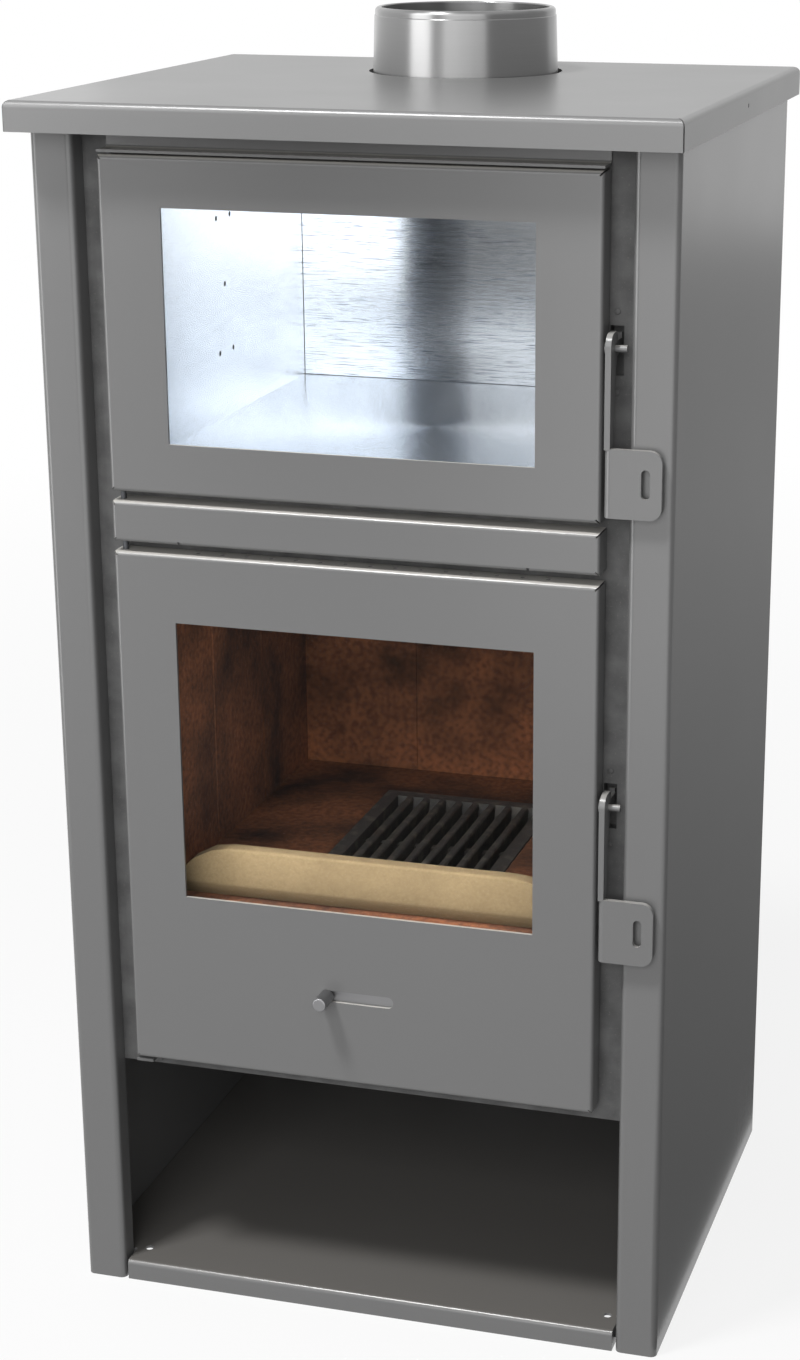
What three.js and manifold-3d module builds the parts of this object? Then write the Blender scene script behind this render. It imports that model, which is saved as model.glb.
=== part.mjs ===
// Wood cookstove: a folded-sheet body with a glazed oven above a glazed firebox and an open
// log store below. Millimetres, +Z up, front towards -Y. Every piece is its own named mesh.
//
// The pieces are worked out in shop coordinates: X = 0 on the centre line, Y = 0 on the front
// of the side panels' flanges and Z = 0 on the ground. The last lines move the whole stove so
// that the origin is the bottom centre of its bounding box.
import * as THREE from "three";
import { mergeVertices } from "three/addons/utils/BufferGeometryUtils.js";
import Module from "manifold-3d";

const wasm = await Module();
wasm.setup();

// ---------------------------------------------------------------- driving dimensions
const GAP = 0.3; // between pieces that touch
const OPEN = 1; // how far a cutter runs past the face that it opens
const MERGE = 1e-5; // vertices nearer than this are one

// Side panels and log store
const BODY_WIDTH = 480;
const BODY_DEPTH = 410;
const BODY_SHEET = 2;
const BODY_BEND = 5; // outer radius of a fold
const FLANGE_WIDTH = 33;
const LIP_DEPTH = 19;
const REAR_RETURN = 18;
const TRAY_HEIGHT = 17;
const TRAY_SHEET = 2;
const TRAY_BEND = 4;
const TRAY_SIDE_GAP = 2.4;
const TRAY_SETBACK = 0.5;
const TRAY_HOLE_RADIUS = 3.3;
const TRAY_HOLE_SIDE = 11.7; // from the flange's inner edge
const TRAY_HOLE_DEPTH = 24.5;
const STORE_CEILING = 191; // bottom edge of the face frame

// Face frame, fascia and hinge rails
const FRAME_SHEET = 2;
const FRAME_SIDE_PLAY = 0.5;
const FASCIA_SHEET = 2;
const FASCIA_HEIGHT = 31;
const FASCIA_BEND = 4;
const FASCIA_AIR_MARGIN = 52.9; // uncut length of the lower flange at each end
const RELIEF = 2.5; // bend relief notch
const RAIL_SHEET = 2;
const RAIL_HEIGHT = 15;
const RAIL_SETBACK = 1.5;
const HINGE_TAB_SHEET = 2.5;
const HINGE_TAB_WIDTH = 14;
const HINGE_TAB_HEIGHT = 9;

// Doors
const DOOR_SIDE_GAP = 19.8; // from the flange's inner edge
const DOOR_PROUD = 2.9; // in front of the flanges
const DOOR_SHEET = 2.5;
const DOOR_BEND = 4;
const DOOR_BACK_GAP = 2.9; // behind the door's folded edge
const DOOR_SLIT = 0.9; // open corner of a folded pan
const FIRE_DOOR_RISE = 13.8; // above the store ceiling
const FIRE_DOOR_HEIGHT = 415.7;
const FASCIA_GAP_BELOW = 7.7;
const FASCIA_GAP_ABOVE = 7.2;
const OVEN_DOOR_HEIGHT = 246.3;
const OVEN_DOOR_TOP_GAP = 1.5;
const WINDOW_SIDE = 48;
const OVEN_WINDOW_BELOW = 37.9;
const OVEN_WINDOW_ABOVE = 36.3;
const FIRE_WINDOW_BELOW = 142.2;
const FIRE_WINDOW_ABOVE = 52.5;
const GLASS_THICKNESS = 4;
const GLASS_OVERLAP = 8;
const RETAINER_SHEET = 1.5;
const RETAINER_BEND = 2;
const RETAINER_LAP = 5;
const RETAINER_FOOT = 8;
const RETAINER_WEB_GAP = 0.8;
const INNER_FRAME_SHEET = 1.5;
const INNER_FRAME_BEND = 3;
const INNER_FRAME_DEPTH = 10;
const INNER_FRAME_RIM = 14;
const INNER_FRAME_END = 5.6; // from the door's top and bottom edges
const SEAL_EDGE = 2;
const SEAL_WIDTH = 10;
const SEAL_MARGIN = 2.5;
const SEAL_ROUND = 2.5;
const AIR_HOLE_RADIUS = 1.6;
const AIR_HOLE_PITCH = 19.3;
const AIR_HOLE_COUNT = 15;
const AIR_HOLE_OFFSET = 11.9; // the row's middle, right of the centre line
const AIR_HOLE_DEPTH = 11; // behind the door's face

// Hinges
const HINGE_INSET = 6.2; // from the door's left edge
const HINGE_DEPTH = 9.7; // behind the door's face
const HINGE_PIN_RADIUS = 2.2;
const HINGE_HEAD_RADIUS = 2.9;
const HINGE_HEAD = 2;
const HINGE_HOLE_PLAY = 0.3;

// Latch levers
const LEVER_SIDE_GAP = 3.2;
const LEVER_SHEET = 4.2;
const LEVER_DEPTH = 12.5;
const LEVER_FRONT = 7.5; // in front of the flanges
const LEVER_HEAD = 11.5; // above the pivot
const LEVER_HEAD_BACK = 6.5; // behind the pivot
const LEVER_HEAD_ROUND = 9;
const LEVER_HEAD_CORNER = 3;
const LEVER_GUSSET = 28; // below the pivot
const LEVER_LENGTH = 118.3; // below the pivot
const LEVER_BEND = 4.5;
const GRIP_WIDTH = 41.9;
const GRIP_HEIGHT = 49.7;
const GRIP_ROUND = 9;
const GRIP_SLOT_WIDTH = 6.4;
const GRIP_SLOT_HEIGHT = 21.4;
const GRIP_SLOT_LIFT = 0.7; // above the grip's middle
const GRIP_SLOT_EDGE = 11.8; // slot centre from the grip's free edge
const HOOK_REACH = 8.7; // behind the frame's front
const HOOK_TOP = 8; // above the pivot
const HOOK_NECK = 4.5; // above the pivot
const HOOK_TIP = 3.2;
const HOOK_ROUND = 1;
const HOOK_BOTTOM = 2; // below the pivot
const PIVOT_RADIUS = 2.6;
const PIVOT_PLAY = 0.4;
const PIVOT_STUB = 8.8; // beyond the lever
const PIVOT_COLLAR_RADIUS = 4.5;
const PIVOT_COLLAR = 2;
const PIVOT_DEPTH = 8.4; // behind the door's face
const OVEN_PIVOT_BELOW = 122; // under the oven door's top
const FIRE_PIVOT_BELOW = 169; // under the fire door's top
const LATCH_SLOT_WIDTH = 10;
const LATCH_SLOT_ABOVE = 13.7;
const LATCH_SLOT_BELOW = 21.5;
const POCKET_WIDTH = 15.2;
const POCKET_WALL = 2;
const POCKET_DEPTH = 14;
const POCKET_END = 14;
const RIVET_RADIUS = 1.8;
const RIVET_HEAD_RADIUS = 2.4;
const RIVET_HEAD = 0.8;
const RIVET_ABOVE = 9.9; // from the slot's upper end
const RIVET_BELOW = 12.5; // from the slot's lower end

// Air slider
const AIR_SLOT_LENGTH = 58;
const AIR_SLOT_HEIGHT = 9.4;
const AIR_SLOT_RISE = 72.4; // above the fire door's bottom
const KNOB_RADIUS = 5.5;
const KNOB_LENGTH = 19;
const KNOB_CHAMFER = 0.8;
const KNOB_NECK = 3.7;
const KNOB_END_PLAY = 0.5;
const SLIDER_LENGTH = 130;
const SLIDER_HEIGHT = 24;
const SLIDER_SHEET = 2;
const SLIDER_END_PLAY = 3;
const REGISTER_RIM = 8;
const REGISTER_SHEET = 2;
const REGISTER_HOLE_RADIUS = 3.7;
const REGISTER_HOLE_PITCH = 12;
const REGISTER_HOLE_COUNT = 3;
const REGISTER_HOLE_OFFSET = 13.4; // the row's middle, left of the centre line

// Inner case
const CASE_SHEET = 3;
const CASE_BEND = 3.6;
const CASE_BACK_GAP = 11;
const SHIELD_SHEET = 1.5;
const SHIELD_RISE = 1; // above the face frame's bottom edge
const SUPPORT_SHEET = 2;
const SUPPORT_LEG = 25;
const ASH_FLOOR_RISE = 31;
const SMOKE_TOP = 36; // between oven and case top
const TOP_AIR_GAP = 12; // between case top and top plate

// Oven
const OVEN_SHEET = 1.2;
const OVEN_LIP_SIDE = 10; // how far the frame laps the oven's mouth
const OVEN_LIP_END = 3;
const OVEN_BACK_SMOKE = 9;
const SHELF_HOLE_RADIUS = 1.6;
const SHELF_HOLE_SPREAD = 14.6;
const SHELF_HOLE_RISE = 53.4;

// Firebox
const BRICK = 30;
const BRICK_HEIGHT = 250;
const GRATE_PLATE_RISE = 76; // above the ash floor
const GRATE_PLATE = 3.5;
const GRATE_WIDTH = 150;
const GRATE_DEPTH = 200;
const GRATE_THICKNESS = 14;
const GRATE_LEDGE = 8;
const GRATE_SLOTS = 9;
const GRATE_BAR = 7;
const GRATE_RIM = 12;
const GUARD_SIDE_PLAY = 3.1; // to each side brick, at its foot
const GUARD_LEAN = 11.5; // how far each end leans in
const GUARD_HEIGHT = 42;
const GUARD_DEPTH = 13;
const GUARD_FOOT_HEIGHT = 10.7;
const GUARD_FOOT_CUT = 6.5; // how far the foot slants back
const GUARD_ROUND = 56; // of the upper corners
const GUARD_EDGE = 2.5;
const GUARD_SETBACK = 10; // behind the face frame
const BAFFLE = 15;
const BAFFLE_FRONT_GAP = 105;
const ASH_PAN_WIDTH = 300;
const ASH_PAN_DEPTH = 300;
const ASH_PAN_HEIGHT = 62;
const ASH_PAN_SHEET = 1.5;
const ASH_PAN_FRONT = 26;
const ASH_SLOT_LENGTH = 70;
const ASH_SLOT_HEIGHT = 16;
const ASH_SLOT_DROP = 10;

// Top plate and flue collar
const TOP_SHEET = 3;
const TOP_FOLD = 22;
const TOP_BEND = 5;
const TOP_SLIT = 1;
const TOP_SIDE_OVERHANG = 7;
const TOP_FRONT_OVERHANG = 27;
const TOP_BACK_OVERHANG = 11;
const TOP_SCREW_RADIUS = 1.3;
const TOP_SCREW_FROM_BACK = 211;
const COLLAR_RADIUS = 74; // outside, at its foot
const COLLAR_TOP_RADIUS = 71.6; // outside, at its rim
const COLLAR_WALL = 5;
const COLLAR_RISE = 49.6; // above the top plate
const COLLAR_FROM_BACK = 101;
const COLLAR_ASIDE = 3.2; // left of the centre line
const COLLAR_PLAY = 3;
const COLLAR_FOOT = 13;
const COLLAR_FOOT_HEIGHT = 4;
const COLLAR_RIM = 3; // rounding of the rim's outer edge
const COLLAR_BORE_EDGE = 1; // rounding of the rim's inner edge

// Back panel and its screws
const BACK_SHEET = 1.5;
const BACK_SIDE_PLAY = 3;
const BACK_FLOOR_GAP = 4;
const BACK_SCREW_RADIUS = 1.9;
const BACK_SCREW_HEAD_RADIUS = 4;
const BACK_SCREW_HEAD = 2.4;
const BACK_SCREW_REACH = 7;
const BACK_SCREW_RISE = 60;

// Fineness of curves
const ARC_STEP = Math.PI / 8;
const ROUND_SIDES = 16;
const SMALL_HOLE_SIDES = 10;
const KNOB_SIDES = 32;
const FULL_ROUND = 0.999; // share of half a slot's width that rounds its ends
const COLLAR_SIDES = 64;

// ---------------------------------------------------------------- shared places
const bodyHalf = BODY_WIDTH / 2;
const panelInner = bodyHalf - BODY_SHEET;
const flangeInner = bodyHalf - FLANGE_WIDTH;
const panelInnerBack = BODY_DEPTH - BODY_BEND;
const frameFront = LIP_DEPTH + GAP;
const frameBack = frameFront + FRAME_SHEET;
const caseFront = frameBack + GAP;
const caseBack = BODY_DEPTH - CASE_BACK_GAP;
const caseInnerBack = caseBack - CASE_SHEET;

const doorHalf = flangeInner - DOOR_SIDE_GAP;
const doorFront = -DOOR_PROUD;
const doorPlateBack = doorFront + DOOR_SHEET;
const doorBack = frameFront - DOOR_BACK_GAP;
const hingeX = -doorHalf + HINGE_INSET;
const hingeY = doorFront + HINGE_DEPTH;

const fireDoorBottom = STORE_CEILING + FIRE_DOOR_RISE;
const fireDoorTop = fireDoorBottom + FIRE_DOOR_HEIGHT;
const fasciaBottom = fireDoorTop + FASCIA_GAP_BELOW;
const fasciaTop = fasciaBottom + FASCIA_HEIGHT;
const ovenDoorBottom = fasciaTop + FASCIA_GAP_ABOVE;
const ovenDoorTop = ovenDoorBottom + OVEN_DOOR_HEIGHT;
const railBottom = ovenDoorTop + OVEN_DOOR_TOP_GAP;

const innerFrameHalf = -hingeX - HINGE_HEAD_RADIUS - 2 * GAP;
const innerFrameBack = doorPlateBack + GAP + INNER_FRAME_DEPTH;
const openingHalf = innerFrameHalf - SEAL_EDGE - SEAL_WIDTH - SEAL_MARGIN;
const openingEnd = INNER_FRAME_END + SEAL_EDGE + SEAL_WIDTH + SEAL_MARGIN;
const windowHalf = doorHalf - WINDOW_SIDE;

const latchX = doorHalf + LEVER_SIDE_GAP + LEVER_SHEET / 2;
const pivotY = doorFront + PIVOT_DEPTH;
const ovenPivotZ = ovenDoorTop - OVEN_PIVOT_BELOW;
const firePivotZ = fireDoorTop - FIRE_PIVOT_BELOW;

const caseInner = latchX + POCKET_WIDTH / 2 + GAP;
const caseHalf = caseInner + CASE_SHEET;
const ovenHalf = openingHalf + OVEN_LIP_SIDE;
const ovenFloor = ovenDoorBottom + openingEnd - OVEN_LIP_END;
const ovenCeiling = ovenDoorTop - openingEnd + OVEN_LIP_END;
const ovenBack = caseInnerBack - OVEN_BACK_SMOKE;
const caseTop = ovenCeiling + OVEN_SHEET + SMOKE_TOP;
const topUnderside = caseTop + GAP + CASE_SHEET + TOP_AIR_GAP;
const topHeight = topUnderside + TOP_SHEET;
const panelTop = topUnderside - GAP;

const shieldBottom = STORE_CEILING + SHIELD_RISE;
const caseBottom = shieldBottom + SHIELD_SHEET + GAP;
const ashFloorTop = STORE_CEILING + ASH_FLOOR_RISE + CASE_SHEET;
const gratePlateTop = ashFloorTop + GRATE_PLATE_RISE + GRATE_PLATE;
const hearth = gratePlateTop + GAP + BRICK;
const brickOuter = caseInner - GAP;
const brickInner = brickOuter - BRICK;
const brickBase = hearth + GAP;
const brickTop = brickBase + BRICK_HEIGHT;

const collarX = -COLLAR_ASIDE;
const collarY = BODY_DEPTH - COLLAR_FROM_BACK;
const collarFoot = caseTop + 2 * GAP + CASE_SHEET;
const topFront = -TOP_FRONT_OVERHANG;
const topBack = BODY_DEPTH + TOP_BACK_OVERHANG;

// ---------------------------------------------------------------- geometry helpers
// The two axes of the outline that is pushed along each axis.
const PLANE = { x: ["y", "z"], y: ["x", "z"], z: ["x", "y"] };

function toSolid(geometry) {
  geometry.deleteAttribute("normal");
  geometry.deleteAttribute("uv");
  const merged = mergeVertices(geometry.index ? geometry.toNonIndexed() : geometry, MERGE);
  const vertProperties = new Float32Array(merged.attributes.position.array);
  const triVerts = new Uint32Array(merged.index.array);
  return new wasm.Manifold(new wasm.Mesh({ numProp: 3, vertProperties, triVerts }));
}

function toGeometry(solid) {
  const mesh = solid.getMesh();
  const geometry = new THREE.BufferGeometry();
  geometry.setAttribute("position", new THREE.BufferAttribute(mesh.vertProperties, 3));
  geometry.setIndex(new THREE.BufferAttribute(mesh.triVerts, 1));
  return geometry;
}

// An outline whose corners are rounded by radii, one for each corner.
function outline(corners, radii = []) {
  const points = [];
  corners.forEach((corner, index) => {
    const tip = new THREE.Vector2(...corner);
    const radius = radii[index] ?? 0;
    if (radius <= 0) {
      points.push(tip);
      return;
    }
    const next = corners[(index + 1) % corners.length];
    const before = new THREE.Vector2(...corners.at(index - 1)).sub(tip).normalize();
    const after = new THREE.Vector2(...next).sub(tip).normalize();
    const half = Math.acos(before.dot(after)) / 2;
    const inward = before.clone().add(after).normalize();
    const centre = tip.clone().addScaledVector(inward, radius / Math.sin(half));
    const start = tip.clone().addScaledVector(before, radius / Math.tan(half)).sub(centre);
    const end = tip.clone().addScaledVector(after, radius / Math.tan(half)).sub(centre);
    const turn = Math.atan2(start.cross(end), start.dot(end));
    const steps = Math.max(2, Math.ceil(Math.abs(turn) / ARC_STEP));
    for (let step = 0; step <= steps; step += 1) {
      const angle = start.angle() + (turn * step) / steps;
      const spoke = new THREE.Vector2(radius * Math.cos(angle), radius * Math.sin(angle));
      points.push(spoke.add(centre));
    }
  });
  return points;
}

function circle(u, v, radius, sides = ROUND_SIDES) {
  const points = [];
  for (let side = 0; side < sides; side += 1) {
    const angle = (2 * Math.PI * side) / sides;
    points.push(new THREE.Vector2(u + radius * Math.cos(angle), v + radius * Math.sin(angle)));
  }
  return points;
}

function unit(axis) {
  return new THREE.Vector3().setComponent("xyz".indexOf(axis), 1);
}

// An outline pushed along one axis, from one station to another.
function slab(axis, points, from, to) {
  const geometry = new THREE.ExtrudeGeometry(new THREE.Shape(points), {
    depth: to - from,
    bevelEnabled: false,
  });
  const matrix = new THREE.Matrix4();
  if (axis === "x") {
    matrix.makeBasis(unit("y"), unit("z"), unit("x"));
    matrix.setPosition(from, 0, 0);
  } else if (axis === "y") {
    matrix.makeBasis(unit("x"), unit("z"), unit("y").negate());
    matrix.setPosition(0, to, 0);
  } else {
    matrix.setPosition(0, 0, from);
  }
  return toSolid(geometry.applyMatrix4(matrix));
}

function rod(axis, u, v, radius, from, to) {
  return slab(axis, circle(u, v, radius), from, to);
}

// A cutter for a slot with round ends, seen from the front.
function roundEndedSlot(x, z, halfX, halfZ, from, to) {
  const corners = [
    [x - halfX, z - halfZ],
    [x + halfX, z - halfZ],
    [x + halfX, z + halfZ],
    [x - halfX, z + halfZ],
  ];
  const radius = Math.min(halfX, halfZ) * FULL_ROUND;
  return slab("y", outline(corners, corners.map(() => radius)), from, to);
}

function box(x0, x1, y0, y1, z0, z1) {
  const geometry = new THREE.BoxGeometry(x1 - x0, y1 - y0, z1 - z0);
  geometry.translate((x0 + x1) / 2, (y0 + y1) / 2, (z0 + z1) / 2);
  return toSolid(geometry);
}

function join(solids) {
  return solids.reduce((sum, solid) => sum.add(solid));
}

function cut(solid, cutters) {
  return cutters.reduce((rest, cutter) => rest.subtract(cutter), solid);
}

// A block whose edges round one face are rounded, as a press brake leaves them.
function roundedBlock(low, high, face, side, bend) {
  const across = Object.keys(PLANE).filter((axis) => axis !== face);
  const blocks = across.map((along) => {
    const [u, v] = PLANE[along];
    const corners = [
      { [u]: low[u], [v]: low[v] },
      { [u]: high[u], [v]: low[v] },
      { [u]: high[u], [v]: high[v] },
      { [u]: low[u], [v]: high[v] },
    ];
    const edge = side === "low" ? low[face] : high[face];
    const radii = corners.map((corner) => (corner[face] === edge ? bend : 0));
    const points = outline(corners.map((corner) => [corner[u], corner[v]]), radii);
    return slab(along, points, low[along], high[along]);
  });
  return blocks[0].intersect(blocks[1]);
}

// A sheet pan: one flat face with its four edges folded over, open behind.
function foldedPan(low, high, face, side, sheet, bend) {
  const innerLow = { ...low };
  const innerHigh = { ...high };
  for (const axis of Object.keys(PLANE)) {
    innerLow[axis] += axis === face && side === "high" ? -OPEN : sheet;
    innerHigh[axis] -= axis === face && side === "low" ? -OPEN : sheet;
  }
  const outer = roundedBlock(low, high, face, side, bend);
  return outer.subtract(roundedBlock(innerLow, innerHigh, face, side, bend - sheet));
}

// The open mitres at the four corners of a folded pan.
function cornerSlits(low, high, face, width, reach) {
  const [u, v] = PLANE[face];
  const slits = [];
  for (const signU of [-1, 1]) {
    for (const signV of [-1, 1]) {
      const cornerU = signU < 0 ? low[u] : high[u];
      const cornerV = signV < 0 ? low[v] : high[v];
      const half = width / Math.SQRT2;
      const points = [
        [cornerU + signU * (OPEN - half), cornerV + signV * (OPEN + half)],
        [cornerU + signU * (OPEN + half), cornerV + signV * (OPEN - half)],
        [cornerU - signU * (reach - half), cornerV - signV * (reach + half)],
        [cornerU - signU * (reach + half), cornerV - signV * (reach - half)],
      ];
      slits.push(slab(face, outline(points), low[face] - OPEN, high[face] + OPEN));
    }
  }
  return slits;
}

// The section of a bent sheet: the path is one face, and the sheet lies to its left.
function bentSheet(path, sheet, bend) {
  const near = [];
  const far = [];
  const nearRadii = [];
  const farRadii = [];
  const corners = path.map((point) => new THREE.Vector2(...point));
  const steps = corners.slice(1).map((corner, index) => corner.clone().sub(corners[index]));
  const normals = steps.map((step) => new THREE.Vector2(-step.y, step.x).normalize());
  path.forEach((point, index) => {
    const first = normals[Math.max(index - 1, 0)];
    const second = normals[Math.min(index, normals.length - 1)];
    const mitre = first.clone().add(second).divideScalar(1 + first.dot(second)).multiplyScalar(sheet);
    near.push(point);
    far.unshift([point[0] + mitre.x, point[1] + mitre.y]);
    const turn = first.cross(second);
    const inside = Math.max(bend - sheet, 0);
    nearRadii.push(turn > 0 ? bend : inside * Math.sign(-turn));
    farRadii.unshift(turn < 0 ? bend : inside * Math.sign(turn));
  });
  return outline([...near, ...far], [...nearRadii, ...farRadii]);
}

// ---------------------------------------------------------------- finishes
const finishes = {
  paint: { color: "#7d7d7d", roughness: 0.5, metalness: 0.3 },
  topPaint: { color: "#8b8b8b", roughness: 0.45, metalness: 0.3 },
  darkSteel: { color: "#4a4a4b", roughness: 0.6, metalness: 0.5 },
  leverPaint: { color: "#868686", roughness: 0.45, metalness: 0.4 },
  collarPaint: { color: "#8e8e8e", roughness: 0.3, metalness: 0.8 },
  turnedSteel: { color: "#7f7f80", roughness: 0.4, metalness: 0.8 },
  brightSteel: { color: "#c4c9d0", roughness: 0.35, metalness: 0.9 },
  glass: { color: "#d8dde0", roughness: 0.05, metalness: 0 },
  rope: { color: "#4b4946", roughness: 0.95, metalness: 0 },
  brick: { color: "#6b4a34", roughness: 0.95, metalness: 0 },
  vermiculite: { color: "#c9a975", roughness: 0.9, metalness: 0 },
  castIron: { color: "#3a3a3c", roughness: 0.7, metalness: 0.6 },
};

const stove = new THREE.Group();

function addPiece(name, solid, finish) {
  const settings = finishes[finish];
  const material = new THREE.MeshStandardMaterial({ ...settings });
  if (finish === "glass") {
    material.transparent = true;
    material.opacity = 0.3;
  }
  const mesh = new THREE.Mesh(toGeometry(solid), material);
  mesh.name = name;
  stove.add(mesh);
}

// ---------------------------------------------------------------- body shell
const backScrewX = bodyHalf - REAR_RETURN / 2;
const backScrewHeights = [BACK_SCREW_RISE, panelTop - BACK_SCREW_RISE];
const topScrewY = BODY_DEPTH - TOP_SCREW_FROM_BACK;
const topScrewZ = topHeight - TOP_FOLD / 2 - GAP;

function sidePanel(side) {
  const path = [
    [side * flangeInner, LIP_DEPTH],
    [side * flangeInner, 0],
    [side * bodyHalf, 0],
    [side * bodyHalf, BODY_DEPTH],
    [side * (bodyHalf - REAR_RETURN), BODY_DEPTH],
  ];
  const section = side > 0 ? path : path.toReversed();
  const panel = slab("z", bentSheet(section, BODY_SHEET, BODY_BEND), 0, panelTop);
  const backHoles = backScrewHeights.map((z) =>
    rod("y", side * backScrewX, z, BACK_SCREW_RADIUS + GAP, BODY_DEPTH - REAR_RETURN, BODY_DEPTH + OPEN));
  const topHole = rod("x", topScrewY, topScrewZ, TOP_SCREW_RADIUS + GAP, -bodyHalf - OPEN, bodyHalf + OPEN);
  return cut(panel, [...backHoles, topHole]);
}

function topPlate() {
  const low = { x: -bodyHalf - TOP_SIDE_OVERHANG, y: topFront, z: topHeight - TOP_FOLD };
  const high = { x: bodyHalf + TOP_SIDE_OVERHANG, y: topBack, z: topHeight };
  const pan = foldedPan(low, high, "z", "high", TOP_SHEET, TOP_BEND);
  const flueHole = slab("z", circle(collarX, collarY, COLLAR_RADIUS + COLLAR_PLAY, COLLAR_SIDES),
    topUnderside - OPEN, topHeight + OPEN);
  const screwHole = rod("x", topScrewY, topScrewZ, TOP_SCREW_RADIUS + GAP, low.x - OPEN, high.x + OPEN);
  return cut(pan, [flueHole, screwHole, ...cornerSlits(low, high, "z", TOP_SLIT, TOP_BEND)]);
}

function topScrew(side) {
  const outer = bodyHalf + TOP_SIDE_OVERHANG - GAP;
  const inner = panelInner - TOP_SHEET;
  const ends = [side * outer, side * inner].sort((a, b) => a - b);
  return rod("x", topScrewY, topScrewZ, TOP_SCREW_RADIUS, ...ends);
}

function backPanel() {
  const half = bodyHalf - BACK_SIDE_PLAY;
  const front = BODY_DEPTH + GAP;
  const sheet = box(-half, half, front, front + BACK_SHEET, BACK_FLOOR_GAP, panelTop - BACK_FLOOR_GAP);
  const holes = [-1, 1].flatMap((side) => backScrewHeights.map((z) =>
    rod("y", side * backScrewX, z, BACK_SCREW_RADIUS + GAP, front - OPEN, front + BACK_SHEET + OPEN)));
  return cut(sheet, holes);
}

function backScrew(side, z) {
  const seat = BODY_DEPTH + 2 * GAP + BACK_SHEET;
  const shank = rod("y", side * backScrewX, z, BACK_SCREW_RADIUS, seat - BACK_SCREW_REACH, seat + GAP);
  const head = rod("y", side * backScrewX, z, BACK_SCREW_HEAD_RADIUS, seat, seat + BACK_SCREW_HEAD);
  return join([shank, head]);
}

// A pressed collar that narrows a little towards its rim.
function flueCollar() {
  const top = topHeight + COLLAR_RISE;
  const profile = outline(
    [
      [COLLAR_RADIUS - COLLAR_WALL, collarFoot],
      [COLLAR_RADIUS + COLLAR_FOOT, collarFoot],
      [COLLAR_RADIUS + COLLAR_FOOT, collarFoot + COLLAR_FOOT_HEIGHT],
      [COLLAR_RADIUS, collarFoot + COLLAR_FOOT_HEIGHT],
      [COLLAR_TOP_RADIUS, top],
      [COLLAR_TOP_RADIUS - COLLAR_WALL, top],
    ],
    [0, 0, 0, 0, COLLAR_RIM, COLLAR_BORE_EDGE],
  );
  const geometry = new THREE.LatheGeometry([...profile, profile[0].clone()], COLLAR_SIDES);
  geometry.rotateX(Math.PI / 2);
  geometry.translate(collarX, collarY, 0);
  return toSolid(geometry);
}

// ---------------------------------------------------------------- front
function hingePinHole(from, to) {
  return rod("z", hingeX, hingeY, HINGE_PIN_RADIUS + HINGE_HOLE_PLAY, from - OPEN, to + OPEN);
}

function latchSlot(pivotZ, from, to) {
  const half = LATCH_SLOT_WIDTH / 2;
  return box(latchX - half, latchX + half, from, to, pivotZ - LATCH_SLOT_BELOW, pivotZ + LATCH_SLOT_ABOVE);
}

function rivetHeights(pivotZ) {
  return [pivotZ + LATCH_SLOT_ABOVE + RIVET_ABOVE, pivotZ - LATCH_SLOT_BELOW - RIVET_BELOW];
}

function faceFrame() {
  const half = panelInner - FRAME_SIDE_PLAY;
  const plate = box(-half, half, frameFront, frameBack, STORE_CEILING, panelTop);
  const openings = [[fireDoorBottom, fireDoorTop], [ovenDoorBottom, ovenDoorTop]].map(([bottom, top]) =>
    box(-openingHalf, openingHalf, frameFront - OPEN, frameBack + OPEN,
      bottom + openingEnd, top - openingEnd));
  const latches = [ovenPivotZ, firePivotZ].flatMap((pivotZ) => [
    latchSlot(pivotZ, frameFront - OPEN, frameBack + OPEN),
    ...rivetHeights(pivotZ).map((z) =>
      rod("y", latchX, z, RIVET_RADIUS + GAP, frameFront - OPEN, frameBack + OPEN)),
  ]);
  return cut(plate, [...openings, ...latches]);
}

function upperHingeRail() {
  const back = LIP_DEPTH;
  const section = bentSheet(
    [[doorFront + RAIL_SETBACK, railBottom], [back, railBottom], [back, railBottom + RAIL_HEIGHT]],
    RAIL_SHEET,
    FASCIA_BEND,
  );
  const rail = slab("x", section, -doorHalf, doorHalf);
  return cut(rail, [hingePinHole(railBottom, railBottom + RAIL_SHEET)]);
}

function lowerHingeTab() {
  const top = fireDoorBottom - OVEN_DOOR_TOP_GAP;
  const section = bentSheet(
    [[LIP_DEPTH, top - HINGE_TAB_HEIGHT], [LIP_DEPTH, top], [doorFront + RAIL_SETBACK, top]],
    HINGE_TAB_SHEET,
    FASCIA_BEND,
  );
  const tab = slab("x", section, hingeX - HINGE_INSET, hingeX - HINGE_INSET + HINGE_TAB_WIDTH);
  return cut(tab, [hingePinHole(top - HINGE_TAB_SHEET, top)]);
}

function middleFascia() {
  const low = { x: -doorHalf, y: doorFront, z: fasciaBottom };
  const high = { x: doorHalf, y: LIP_DEPTH, z: fasciaTop };
  const pan = foldedPan(low, high, "y", "low", FASCIA_SHEET, FASCIA_BEND);
  const airHalf = doorHalf - FASCIA_AIR_MARGIN;
  const airGap = box(-airHalf, airHalf, doorFront + FASCIA_SHEET, high.y + OPEN,
    low.z - OPEN, low.z + FASCIA_SHEET + OPEN);
  const reliefs = [-airHalf, airHalf].map((x) =>
    box(x - RELIEF / 2, x + RELIEF / 2, doorFront - OPEN, doorFront + FASCIA_BEND,
      low.z - OPEN, low.z + RELIEF));
  return cut(pan, [
    airGap,
    ...reliefs,
    hingePinHole(low.z, high.z),
    ...cornerSlits(low, high, "y", DOOR_SLIT, FASCIA_BEND),
  ]);
}

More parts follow.
